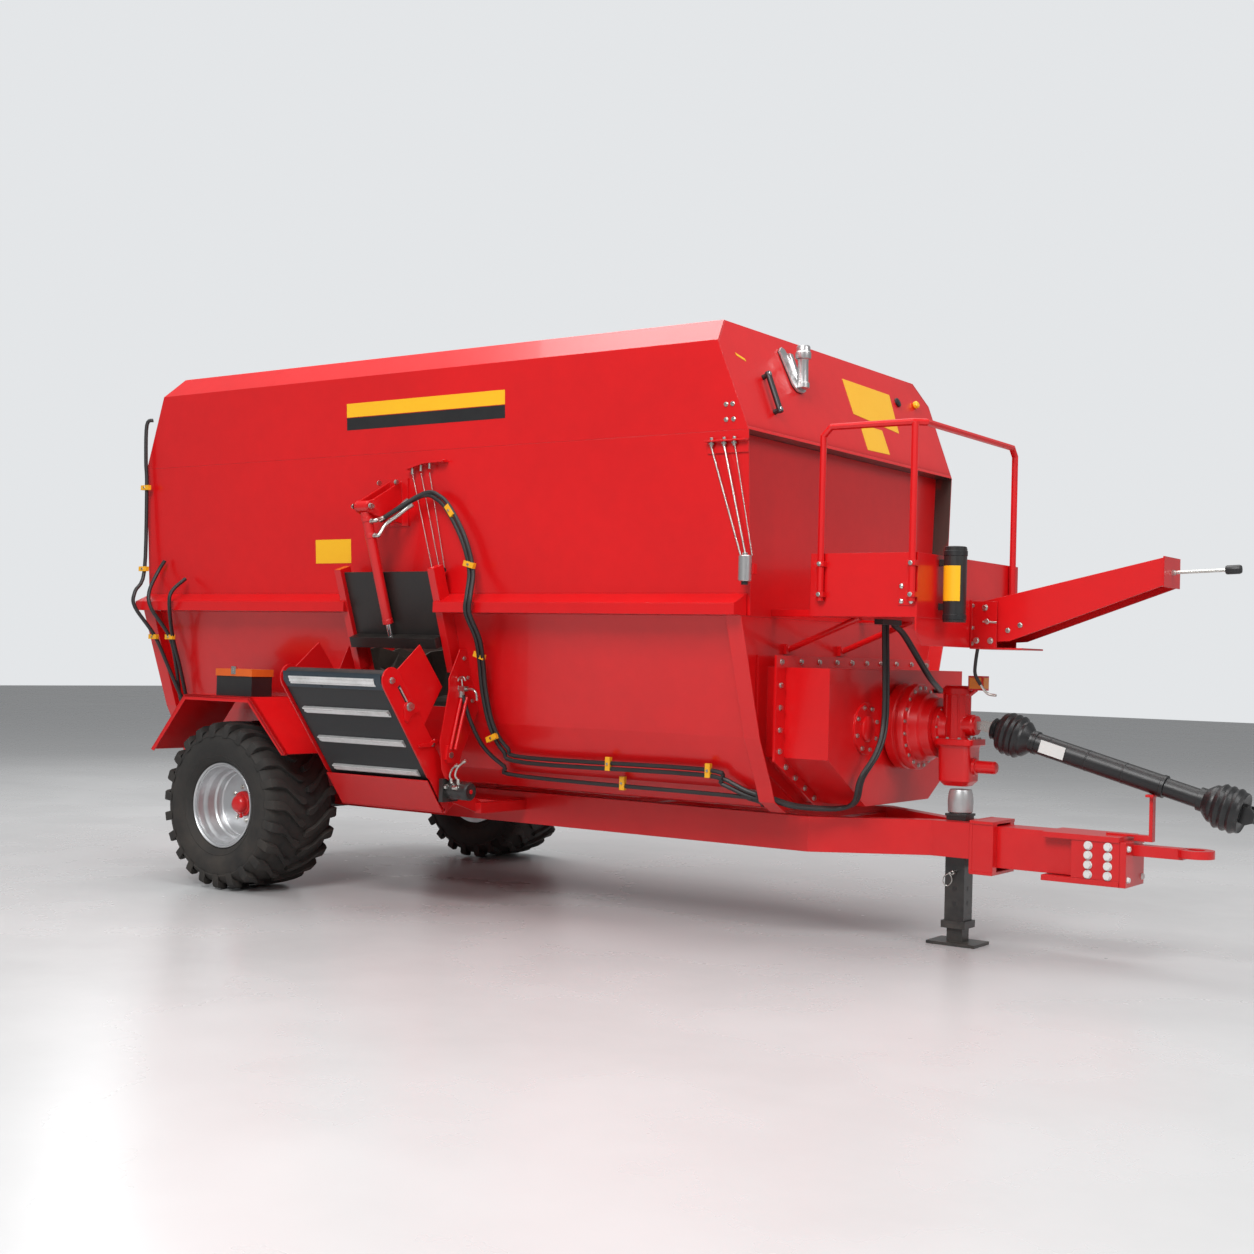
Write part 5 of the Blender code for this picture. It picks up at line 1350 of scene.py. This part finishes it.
    def _motor(self, form: Form) -> None:
        """Rings, end cap, ports and bright pipes of the motor."""
        start = (1.4672, self.pivot_y, self.pivot_z)
        form.turned(band(0.045, 0.0475, 0.04, 0.063, 0.003), start, AHEAD, Paint.BLACK, 40)
        form.turned([(0.0452, 0.108), (0.0465, 0.11), (0.0465, 0.156), (0.04, 0.164), (0.02, 0.165), (0.018, 0.164),
                     (0.0004, 0.164)], start, AHEAD, Paint.BLACK, 40)
        form.turned([(0.012, 0.1642), (0.012, 0.1656)], start, AHEAD, Paint.RED, 20)
        y, z = self.pivot_y, self.pivot_z
        for x, points in (
            (1.515, [(1.515, y - 0.024, z + 0.06), (1.512, y - 0.03, z + 0.08), (1.532, y - 0.036, z + 0.112),
                     (1.556, y - 0.04, z + 0.128)]),
            (1.562, [(1.562, y - 0.026, z + 0.06), (1.552, y - 0.034, z + 0.084), (1.572, y - 0.038, z + 0.124),
                     (1.606, y - 0.034, z + 0.152)]),
        ):
            form.rod((x, y - 0.018, z + 0.03), (x, y - 0.024, z + 0.062), 0.011, Paint.ZINC, 6)
            form.tube(points, 0.0062, Paint.ZINC, 10)
            form.rod(points[-1], Vector(points[-1]) + Vector((0.016, 0, 0.008)), 0.009, Paint.ZINC, 6)
        form.rod((1.548, y - 0.044, z + 0.018), (1.58, y - 0.044, z + 0.018), 0.012, Paint.ZINC, 12, soft=0.002)
        form.rod((1.496, y - 0.044, z + 0.02), (1.512, y - 0.044, z + 0.02), 0.014, Paint.ZINC, 6)


@dataclass
class FrontDrive:
    """The drive at the front: the housing's flange, the drum, the gearbox and the shaft's guard."""

    housing_x: float = 3.5
    plate_x: float = 3.2673
    z: float = 1.043
    shaft_x: float = 3.96
    shaft_z: float = 1.062
    end_x: float = 5.23
    end_z: float = 0.714
    cover_y: float = 0.376
    cover_z: float = 1.035
    column_x: float = 3.806
    column_round: float = 0.0625

    def build(self) -> None:
        """Makes the pieces."""
        bolts = Bolts()
        column = [(0.785, z) for z in (1.345, 1.235, 1.13, 1.025, 0.925)]
        slant = [(0.725, 0.85), (0.63, 0.795), (0.535, 0.742), (0.44, 0.69)]
        top = [(0.6, 1.348), (0.42, 1.348), (0.24, 1.348), (0.08, 1.348)]
        for y, z in column + slant + top:
            for side in (1, -1):
                bolts.put((self.plate_x, side * y, z), AHEAD, 0.0115)
        for side in (1, -1):
            bolts.ring((self.housing_x + 0.0122, side * self.cover_y, self.cover_z), AHEAD, 0.105, 8, 0.0095, 0.3)
        bolts.ring((self.housing_x + 0.1185, 0, self.z), AHEAD, 0.192, 20, 0.0085)
        bolts.ring((3.7425, 0, self.z), AHEAD, 0.099, 12, 0.0065, 0.2)
        for x, y in ((3.744, -0.088), (3.8, -0.092), (3.86, -0.092), (3.908, -0.08), (3.744, 0.088), (3.86, 0.092),
                     (3.912, -0.03), (3.912, 0.03)):
            bolts.put((x, y, 0.9952), UP, 0.0085)
        bolts.done("Drive_bolts", "chassis", Paint.ZINC, Slot.STEEL)
        form = Form("Drive_fittings")
        self._drum(form)
        form.done("chassis", Slot.RED, "planetary_gearbox")
        self._gearbox()
        self._shaft()

    def _drum(self, form: Form) -> None:
        """The stepped drum, the flange of the housing and the covers' caps."""
        profile = [(0.12, 0.0006), (0.19, 0.0006), (0.205, 0.01), (0.2128, 0.018), (0.2128, 0.06), (0.204, 0.066),
                   (0.204, 0.078), (0.2128, 0.083), (0.2128, 0.112), (0.209, 0.118), (0.178, 0.12), (0.172, 0.126),
                   (0.166, 0.168), (0.15, 0.176), (0.146, 0.2195), (0.12, 0.2195)]
        form.turned(profile, (self.housing_x, 0, self.z), AHEAD, Paint.RED, 72)
        half = [(0.83, 1.375), (0.83, 0.88), (0.4, 0.64)]
        outline = half + [(-y, z) for y, z in reversed(half)]
        form.sheet(outline, self.plate_x - 0.012, 0.012)
        for side in (1, -1):
            middle = (self.housing_x + 0.012, side * self.cover_y, self.cover_z)
            form.turned([(0.062, 0), (0.062, 0.01), (0.05, 0.016), (0.0004, 0.018)], middle, AHEAD, Paint.RED, 40)

    @staticmethod
    def _column(form: Form, rows: list[tuple[float, float, float, float]], middle: float) -> None:
        """An upright cast body with round corners.

        Args:
            form: The mesh it goes into.
            rows: Height, half length, half width and corner radius of each ring.
            middle: Its place along the machine.
        """
        rings = []
        for z, long, wide, soft in rows:
            ring = []
            for corner in range(4):
                for step in range(7):
                    turn, slant = math.radians(90 * corner + 15 * step), math.radians(90 * corner + 45)
                    x = math.copysign(long - soft, math.cos(slant)) + soft * math.cos(turn)
                    y = math.copysign(wide - soft, math.sin(slant)) + soft * math.sin(turn)
                    ring.append(at(middle + x, y, z))
            rings.append(ring)
        form.loft(rings, Paint.RED)

    def _gearbox(self) -> None:
        """The cast gearbox: a round column on a flange and a lower block, with its lamp and its shaft's nose."""
        form = Form("Gearbox")
        self._column(form, [(0.992, 0.066, 0.066, 0.064), (1.205, 0.063, 0.063, 0.061), (1.212, 0.07, 0.07, 0.068),
                            (1.238, 0.07, 0.07, 0.068), (1.252, 0.056, 0.056, 0.054)], self.column_x)
        self._column(form, [(0.963, 0.094, 0.1, 0.03), (0.966, 0.098, 0.104, 0.034), (0.992, 0.098, 0.104, 0.034),
                            (0.995, 0.094, 0.1, 0.03)], 3.826)
        self._column(form, [(0.766, 0.06, 0.056, 0.03), (0.79, 0.08, 0.074, 0.03), (0.952, 0.084, 0.078, 0.03),
                            (0.966, 0.09, 0.086, 0.03)], 3.82)
        form.turned([(0.108, 0.0), (0.108, 0.022), (0.092, 0.03), (0.08, 0.06), (0.02, 0.062)], (3.7203, 0, self.z),
                    AHEAD, Paint.RED, 48)
        form.turned([(0.052, 0), (0.052, 0.076), (0.046, 0.082), (0.046, 0.094), (0.03, 0.096)],
                    (3.82, 0, self.shaft_z), AHEAD, Paint.RED, 36)
        form.turned([(0.046, 0), (0.04, 0.006), (0.04, 0.014), (0.031, 0.018), (0.031, 0.108), (0.024, 0.117),
                     (0.0004, 0.12)], (3.9, 0, 0.862), AHEAD, Paint.RED, 32)
        for turn in range(0, 360, 30):
            x = self.column_x + self.column_round * math.cos(math.radians(turn))
            y = self.column_round * math.sin(math.radians(turn))
            form.rod((x, y, 0.994), (x, y, 1.208), 0.0055, Paint.RED, 8)
        form.block((3.905, -0.014, self.shaft_z - 0.02), (3.958, 0.014, self.shaft_z + 0.02), Paint.ZINC)
        form.turned(band(0.0108, 0.026, 0, 0.028, 0), (self.shaft_x, -0.014, self.shaft_z), LEFT, Paint.ZINC, 24,
                    True)
        form.rod((3.86, 0.0, 1.2), (3.905, 0.0, 1.235), 0.01, Paint.RED, 10)
        form.block((3.88, -0.044, 1.232), (3.955, 0.03, 1.302))
        form.block((3.887, -0.0465, 1.24), (3.948, -0.0435, 1.294), Paint.AMBER)
        form.block((3.9545, -0.037, 1.24), (3.958, 0.023, 1.294), Paint.AMBER)
        form.tube([(3.975, -0.16, 1.432), (3.962, -0.15, 1.37), (3.948, -0.12, 1.31), (3.962, -0.088, 1.262)], 0.0085,
                  Paint.HOSE, 10)
        form.tube([(3.962, -0.088, 1.262), (3.975, -0.072, 1.235), (3.995, -0.06, 1.216), (4.03, -0.056, 1.212)],
                  0.0065, Paint.ZINC, 10)
        form.done("chassis", Slot.RED, "input_gearbox")

    def _shaft(self) -> None:
        """The guard with its bells and collars, both yokes, the pin and the blank tag."""
        form = Form("Shaft_guard")
        start = Vector((self.shaft_x, 0, self.shaft_z))
        reach = (Vector((self.end_x, 0, self.end_z)) - start).length
        way = (Vector((self.end_x, 0, self.end_z)) - start).normalized()
        up = Vector((-way.z, 0, way.x))
        rear, fore = self._bell(0.086, 0.24), self._bell(0.058, 0.235)
        profile = [(0.0004, 0.036), (0.046, 0.036), (0.053, 0.042), (0.046, 0.05), (0.053, 0.058), (0.046, 0.066),
                   (0.053, 0.074), (0.05, 0.08)] + rear
        profile += [(0.05, 0.275), (0.05, reach - 0.425), (0.044, reach - 0.42), (0.044, reach - 0.262),
                    (0.054, reach - 0.26), (0.054, reach - 0.238)]
        profile += [(radius, reach - along) for radius, along in reversed(fore)]
        profile += [(0.07, reach - 0.066), (0.046, reach - 0.062), (0.046, reach - 0.044), (0.03, reach - 0.03),
                    (0.03, reach), (0.0004, reach)]
        form.turned(profile, start, way, Paint.GUARD, 48)
        for side in (1, -1):
            ear = [(-0.02, -0.014), (-0.012, -0.024), (0.045, -0.024), (0.045, 0.024), (-0.012, 0.024),
                   (-0.02, 0.014)]
            form.prism([start + way * a + up * b + Vector((0, side * 0.0145, 0)) for a, b in ear],
                       (0, side * 0.0155, 0), Paint.ZINC)
        form.rod((self.shaft_x, -0.029, self.shaft_z), (self.shaft_x, 0.029, self.shaft_z), 0.01, Paint.ZINC, 20)
        for along, radius in ((0.25, 0.056), (0.88, 0.0535)):
            form.turned(band(0.044, radius, 0, 0.022, 0.003), start + way * along, way, Paint.GUARD, 36, True)
        for along in (0.33, 0.52, 0.7):
            form.turned(band(0.0495, 0.0512, 0, 0.008), start + way * along, way, Paint.GUARD, 36, True)
        corner = start + way * 0.3 + Vector((0, -0.0535, 0)) + up * 0.03
        tag = [corner, corner + way * 0.125, corner + way * 0.125 - up * 0.06, corner - up * 0.06]
        form.prism(tag, (0, -0.0006, 0), Paint.WHITE)
        for side in (1, -1):
            prong = [(reach - 0.075, -0.032), (reach - 0.03, -0.04), (reach - 0.002, -0.022), (reach - 0.002, 0.022),
                     (reach - 0.03, 0.04), (reach - 0.075, 0.032)]
            form.prism([start + way * a + up * b + Vector((0, side * 0.036, 0)) for a, b in prong],
                       (0, side * 0.014, 0), Paint.GUARD)
        form.done("driveshaft", Slot.GUARD, "driveshaft")

    @staticmethod
    def _bell(start: float, stop: float) -> Profile:
        """Radii and places of a ribbed bell, from its mouth to its neck."""
        places = []
        for step in range(25):
            share = step / 24
            rib = 0.009 * (1 - math.cos(share * 10 * math.pi)) / 2 if share < 0.8 else 0.0
            radius = 0.104 - 0.014 * (1 - share / 0.15) ** 2 if share < 0.15 else 0.104
            if share > 0.55:
                radius = 0.104 - 0.05 * ((share - 0.55) / 0.45) ** 1.6
            places.append((radius - rib, start + (stop - start) * share))
        return places


@dataclass
class Hitch:
    """The drawbar's cheeks, flanges and bolts, and the jack's cap, holes drawn as black discs of painted shade, pin
    and clip.
    """

    jack: tuple[float, float] = (3.835, 0.0)
    beam_side: float = 0.0803
    cheek: float = 0.126
    collar: float = 0.128
    front: float = 4.6645
    pad: float = 4.6956

    def build(self) -> None:
        """Makes the pieces."""
        form = Form("Hitch_cheeks")
        bolts = Bolts()
        for side in (1, -1):
            low, high = pair(self.beam_side, self.cheek, side)
            form.block((4.44, low, 0.392), (self.front, high, 0.566))
            for x in (4.52, 4.612):
                for z in (0.412, 0.456, 0.5, 0.544):
                    bolts.put((x, side * 0.1262, z), (0, side, 0), 0.0165)
            for z in (0.4, 0.54):
                bolts.put((self.pad, side * 0.1, z), AHEAD, 0.012)
        for z in (0.366, 0.566):
            form.block((4.3, -0.132, z), (self.front, 0.132, z + 0.0255))
        for low, high in ((0.36, 0.374), (0.6, 0.614)):
            form.block((3.945, -0.134, low), (4.06, 0.134, high))
        for side in (1, -1):
            low, high = pair(self.beam_side, self.collar, side)
            form.block((3.945, low, 0.374), (4.06, high, 0.6))
        form.done("chassis", Slot.RED)
        bolts.done("Hitch_bolts", "chassis", Paint.WHITE, Slot.STEEL)
        x, y = self.jack
        form = Form("Jack_fittings")
        form.turned([(0.05, 0.632), (0.06, 0.64), (0.062, 0.69), (0.058, 0.73), (0.052, 0.748), (0.0004, 0.752)],
                    (x, y, 0), UP, Paint.PALE, 32)
        form.block((x - 0.02, y - 0.0508, 0.56), (x + 0.02, y - 0.0498, 0.584), Paint.YELLOW)
        form.block((x - 0.055, y - 0.055, 0.6203), (x + 0.055, y + 0.055, 0.632), Paint.BLACK)
        # The jack's holes are thin black discs: painted shade standing in for the holes.
        for z in (0.2, 0.27):
            form.turned([(0.012, 0), (0.012, 0.0008)], (x + 0.0502, y, z), AHEAD, Paint.INK, 20)
            form.turned([(0.012, 0), (0.012, 0.0008)], (x, y - 0.0502, z), RIGHT, Paint.INK, 20)
        form.rod((x, y - 0.082, 0.35), (x, y - 0.05, 0.35), 0.011, Paint.ZINC, 16, soft=0.002)
        form.rod((x, y - 0.108, 0.35), (x, y - 0.08, 0.35), 0.0065, Paint.ZINC, 12)
        loop = [(x, y - 0.104, 0.35), (x - 0.026, y - 0.108, 0.335), (x - 0.034, y - 0.106, 0.305),
                (x - 0.012, y - 0.104, 0.288), (x + 0.01, y - 0.104, 0.315), (x, y - 0.104, 0.346)]
        form.tube(loop, 0.0026, Paint.ZINC, 8)
        form.done("chassis", Slot.BLACK)


@dataclass
class Platform:
    """The platform's apron, struts and brackets, the holder's bands, bolts, and the arm's fittings."""

    def build(self) -> None:
        """Makes the pieces."""
        form = Form("Platform_fittings")
        apron = [(-0.799, 1.58), (-0.799, 1.5), (-0.74, 1.435), (0.05, 1.435), (0.33, 1.562), (0.33, 1.58)]
        form.sheet(apron, 3.95, 0.009)
        for y in (-0.55, 0.0):
            form.block((3.156, y - 0.03, 1.382), (3.176, y + 0.03, 1.432))
            form.rod((3.168, y, 1.405), (3.55, y, 1.562), 0.015, Paint.RED, 16)
        form.block((3.868, -0.8035, 1.612), (3.948, -0.8003, 1.716))
        for x in (3.884, 3.932):
            for z in (1.63, 1.698):
                form.turned([(0.0115, 0), (0.0105, 0.004), (0.006, 0.007), (0.0004, 0.0078)], (x, -0.8035, z),
                            RIGHT, Paint.ZINC, 16)
        holder = (4.0318, -0.56)
        for low, high in ((1.556, 1.58), (1.845, 1.87)):
            form.turned(band(0.0524, 0.0545, low, high), (*holder, 0), UP, Paint.GUARD, 40, True)
        form.turned([(0.05, 1.8795), (0.05, 1.886), (0.044, 1.889), (0.0004, 1.8892)], (*holder, 0), UP,
                    Paint.GUARD, 40)
        rings = []
        for z in (1.64, 1.8):
            turns = [math.radians(-150 + 110 * step / 10) for step in range(11)]
            outer = [Vector((math.cos(t) * 0.053, math.sin(t) * 0.053, z)) for t in turns]
            inner = [Vector((math.cos(t) * 0.0522, math.sin(t) * 0.0522, z)) for t in reversed(turns)]
            rings.append([at(*holder, 0) + point for point in outer + inner])
        form.loft(rings, Paint.YELLOW)
        for x, y in ((3.48, -0.8168), (3.94, -0.8168)):
            for z in (1.66, 1.8):
                form.block((x - 0.024, y - 0.018, z - 0.012), (x + 0.024, y + 0.0165, z + 0.012))
        form.done("chassis", Slot.RED)
        bolts = Bolts()
        for y in (-0.206, 0.026):
            for z in (1.455, 1.53, 1.635):
                bolts.put((3.9685, y, z), AHEAD, 0.0105)
        for x, z in ((3.99, 1.47), (4.06, 1.47), (4.03, 1.625)):
            bolts.put((x, -0.2122, z), RIGHT, 0.012)
        for x, z in ((3.48, 1.66), (3.48, 1.8), (3.94, 1.66), (3.94, 1.8)):
            bolts.put((x, -0.835, z), RIGHT, 0.0085)
        bolts.done("Platform_bolts", "chassis", Paint.ZINC, Slot.STEEL)
        self._arm()

    @staticmethod
    def _arm() -> None:
        """The arm's end plate, its handle with the grip, the locking pin and side bolts."""
        form = Form("Arm_fittings")
        form.rod((4.859, -0.09, 1.7902), (5.16, -0.09, 1.8028), 0.008, Paint.ZINC, 16)
        form.block((4.8602, -0.205, 1.722), (4.866, 0.025, 1.858))
        form.rod((4.04, -0.216, 1.56), (4.04, -0.199, 1.56), 0.013, Paint.ZINC, 16, soft=0.002)
        form.rod((4.02, -0.212, 1.56), (4.09, -0.212, 1.556), 0.005, Paint.ZINC, 10)
        form.turned([(0.018, 0), (0.0204, 0.006), (0.0204, 0.058), (0.017, 0.066), (0.0004, 0.067)],
                    (5.101, -0.09, 1.8005), (0.9992, 0, 0.04), Paint.GUARD, 24)
        form.turned([(0.0125, 0), (0.0125, 0.014)], (4.866, -0.09, 1.7905), (0.9992, 0, 0.04), Paint.ZINC, 6)
        form.done("arm", Slot.RED)
        bolts = Bolts()
        for x, z in ((4.14, 1.52), (4.2, 1.545)):
            bolts.put((x, -0.2002, z), RIGHT, 0.01)
        bolts.done("Arm_bolts", "arm", Paint.ZINC, Slot.STEEL)


@dataclass
class Hoses:
    """The hoses of the gate, of the drive in front and at the rear."""

    radius: float = 0.011
    step: float = 0.026

    def build(self) -> None:
        """Makes the hoses as one piece on the chassis."""
        outer = [
            (1.13, -1.25, 2.04), (1.325, -1.16, 2.169), (1.433, -1.15, 2.151), (1.513, -1.145, 2.076),
            (1.607, -1.14, 1.926), (1.66, -1.14, 1.766), (1.7, -1.2, 1.64), (1.695, -1.2, 1.55),
            (1.7, -1.12, 1.42), (1.66, -1.04, 1.3), (1.625, -0.97, 1.152), (1.635, -0.915, 0.976),
            (1.68, -0.85, 0.86), (1.8, -0.825, 0.815), (2.86, -0.825, 0.82), (2.98, -0.805, 0.78),
            (3.08, -0.785, 0.735), (3.149, -0.76, 0.712),
        ]
        lower = [
            (1.52, -1.03, 1.13), (1.54, -0.99, 1.0), (1.56, -0.9, 0.86), (1.62, -0.8, 0.76),
            (1.72, -0.768, 0.712), (2.98, -0.768, 0.7), (3.08, -0.74, 0.69), (3.149, -0.715, 0.672),
        ]
        rise = [
            (3.156, -0.735, 0.7), (3.19, -0.72, 0.69), (3.26, -0.65, 0.662), (3.34, -0.56, 0.65),
            (3.42, -0.46, 0.65), (3.505, -0.48, 0.69), (3.56, -0.53, 0.804), (3.6, -0.44, 0.94),
            (3.6, -0.377, 1.109), (3.6, -0.397, 1.514), (3.6, -0.397, 1.5597),
        ]
        across = [
            (3.6, -0.3, 1.5597), (3.6, -0.3, 1.535), (3.6, -0.185, 1.487), (3.62, 0.045, 1.3),
            (3.6, 0.2, 1.24), (3.56, 0.34, 1.215), (3.52, 0.39, 1.215), (3.5003, 0.39, 1.215),
        ]
        rear = (
            [(-0.9, -1.118, 2.69), (-0.928, -1.142, 2.66), (-0.93, -1.139, 2.445), (-0.926, -1.13, 2.285),
             (-0.926, -1.128, 1.79), (-0.92, -1.197, 1.66), (-0.912, -1.2, 1.57), (-0.846, -1.1, 1.4),
             (-0.8, -1.02, 1.2), (-0.75, -0.95, 1.02), (-0.7, -0.8, 0.8)],
            [(-0.776, -1.1, 1.85), (-0.8, -1.13, 1.78), (-0.79, -1.197, 1.66), (-0.762, -1.2, 1.56),
             (-0.717, -1.095, 1.396), (-0.76, -1.0, 1.2), (-0.798, -0.93, 1.02), (-0.78, -0.87, 0.93)],
            [(-0.582, -1.105, 1.74), (-0.59, -1.197, 1.66), (-0.601, -1.2, 1.57), (-0.69, -1.095, 1.396),
             (-0.72, -1.01, 1.22), (-0.74, -0.945, 1.06)],
        )
        beside = [(x - self.step * 0.8, y, z - self.step * 0.6) if index < 5 else (x - self.step, y, z)
                  for index, (x, y, z) in enumerate(outer[:12])]
        beside += [(1.652, -0.852, 0.845), (1.79, -0.826, 0.788), (2.86, -0.826, 0.793), (2.97, -0.806, 0.755),
                   (3.07, -0.772, 0.712), (3.149, -0.74, 0.69)]
        form = Form("Hoses")
        second = [(x + 0.004, y + 0.024, z + 0.004) for x, y, z in rise[:-1]] + [(3.604, -0.373, 1.5597)]
        for route in (outer, beside, lower, rise, second, across, [(x, y + 0.026, z) for x, y, z in across], *rear):
            form.tube(route, self.radius, Paint.HOSE, 10, 5)
        for y, z in ((-0.76, 0.712), (-0.74, 0.69), (-0.715, 0.672)):
            form.rod((3.139, y, z), (3.1497, y, z), 0.018, Paint.GUARD, 20)
        form.block((3.58, -0.46, 1.535), (3.62, -0.25, 1.5597), Paint.GUARD)
        form.done("chassis", Slot.GUARD)


@dataclass
class WheelCovers:
    """The mudguards' folded lips and the toolbox's latch."""

    def build(self) -> None:
        """Makes the pieces."""
        form = Form("Guard_fittings")
        outline = [(-0.565, 0.75), (-0.29, 1.075), (0.24, 1.075), (0.535, 0.78)]
        for side in (1, -1):
            inner = [(-0.55, 0.752), (-0.283, 1.0605), (0.234, 1.0605), (0.523, 0.7715)]
            form.prism([(x, side * 1.33, z) for x, z in outline + inner[::-1]], (0, -side * 0.026, 0))
        form.done("chassis", Slot.RED)
        form = Form("Toolbox_latch")
        form.block((0.01, -1.2575, 1.196), (0.046, -1.2502, 1.24), Paint.ZINC)
        form.rod((0.028, -1.258, 1.204), (0.028, -1.258, 1.232), 0.004, Paint.ZINC, 10)
        form.done("toolbox_lid", Slot.STEEL)


@dataclass
class Dress:
    """The finish that each CAD node keeps when its own shape is right."""

    def build(self) -> None:
        """Gives every node of the frame its material."""
        special = {
            Paint.TYRE: ("tyre_left", "tyre_right"),
            Paint.RIM: ("rim_left", "rim_right"),
            Paint.BLACK: ("axle_beam", "parking_jack", "manual_holder", "toolbox", "conveyor_motor"),
            Paint.GATE: ("gate",),
            Paint.BELT: ("conveyor_belt",),
            Paint.GUARD: ("driveshaft",),
            Paint.ORANGE: ("toolbox_lid",),
            # Augers and tub walls take dark finishes inside: partly bare steel, partly painted shade.
            Paint.FEED: ("auger_left", "auger_right"),
            Paint.LINED: (
                "trough", "side_wall_left", "side_wall_right", "end_wall_front", "end_wall_rear", "extension_left",
                "extension_right", "extension_front", "extension_rear",
            ),
        }
        chosen = {node: finish for finish, nodes in special.items() for node in nodes}
        for name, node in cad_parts.items():
            finish = chosen.get(name, Paint.RED)
            node.data.materials.clear()
            node.data.materials.append(finish.material(EFFECTS))


def main() -> None:
    """Builds the studio and dresses the machine, class by class."""
    logging.basicConfig(level=logging.INFO, format="%(message)s")
    parts = (
        Studio(), Dress(), Wheel(-1, "right"), Wheel(1, "left"), Decals(), FrontPanel(), SideFittings(), Conveyor(),
        FrontDrive(), Hitch(), Platform(), Hoses(), WheelCovers(),
    )
    for part in parts:
        part.build()
        LOG.info("built %s", type(part).__name__)


if __name__ == "__main__":
    main()
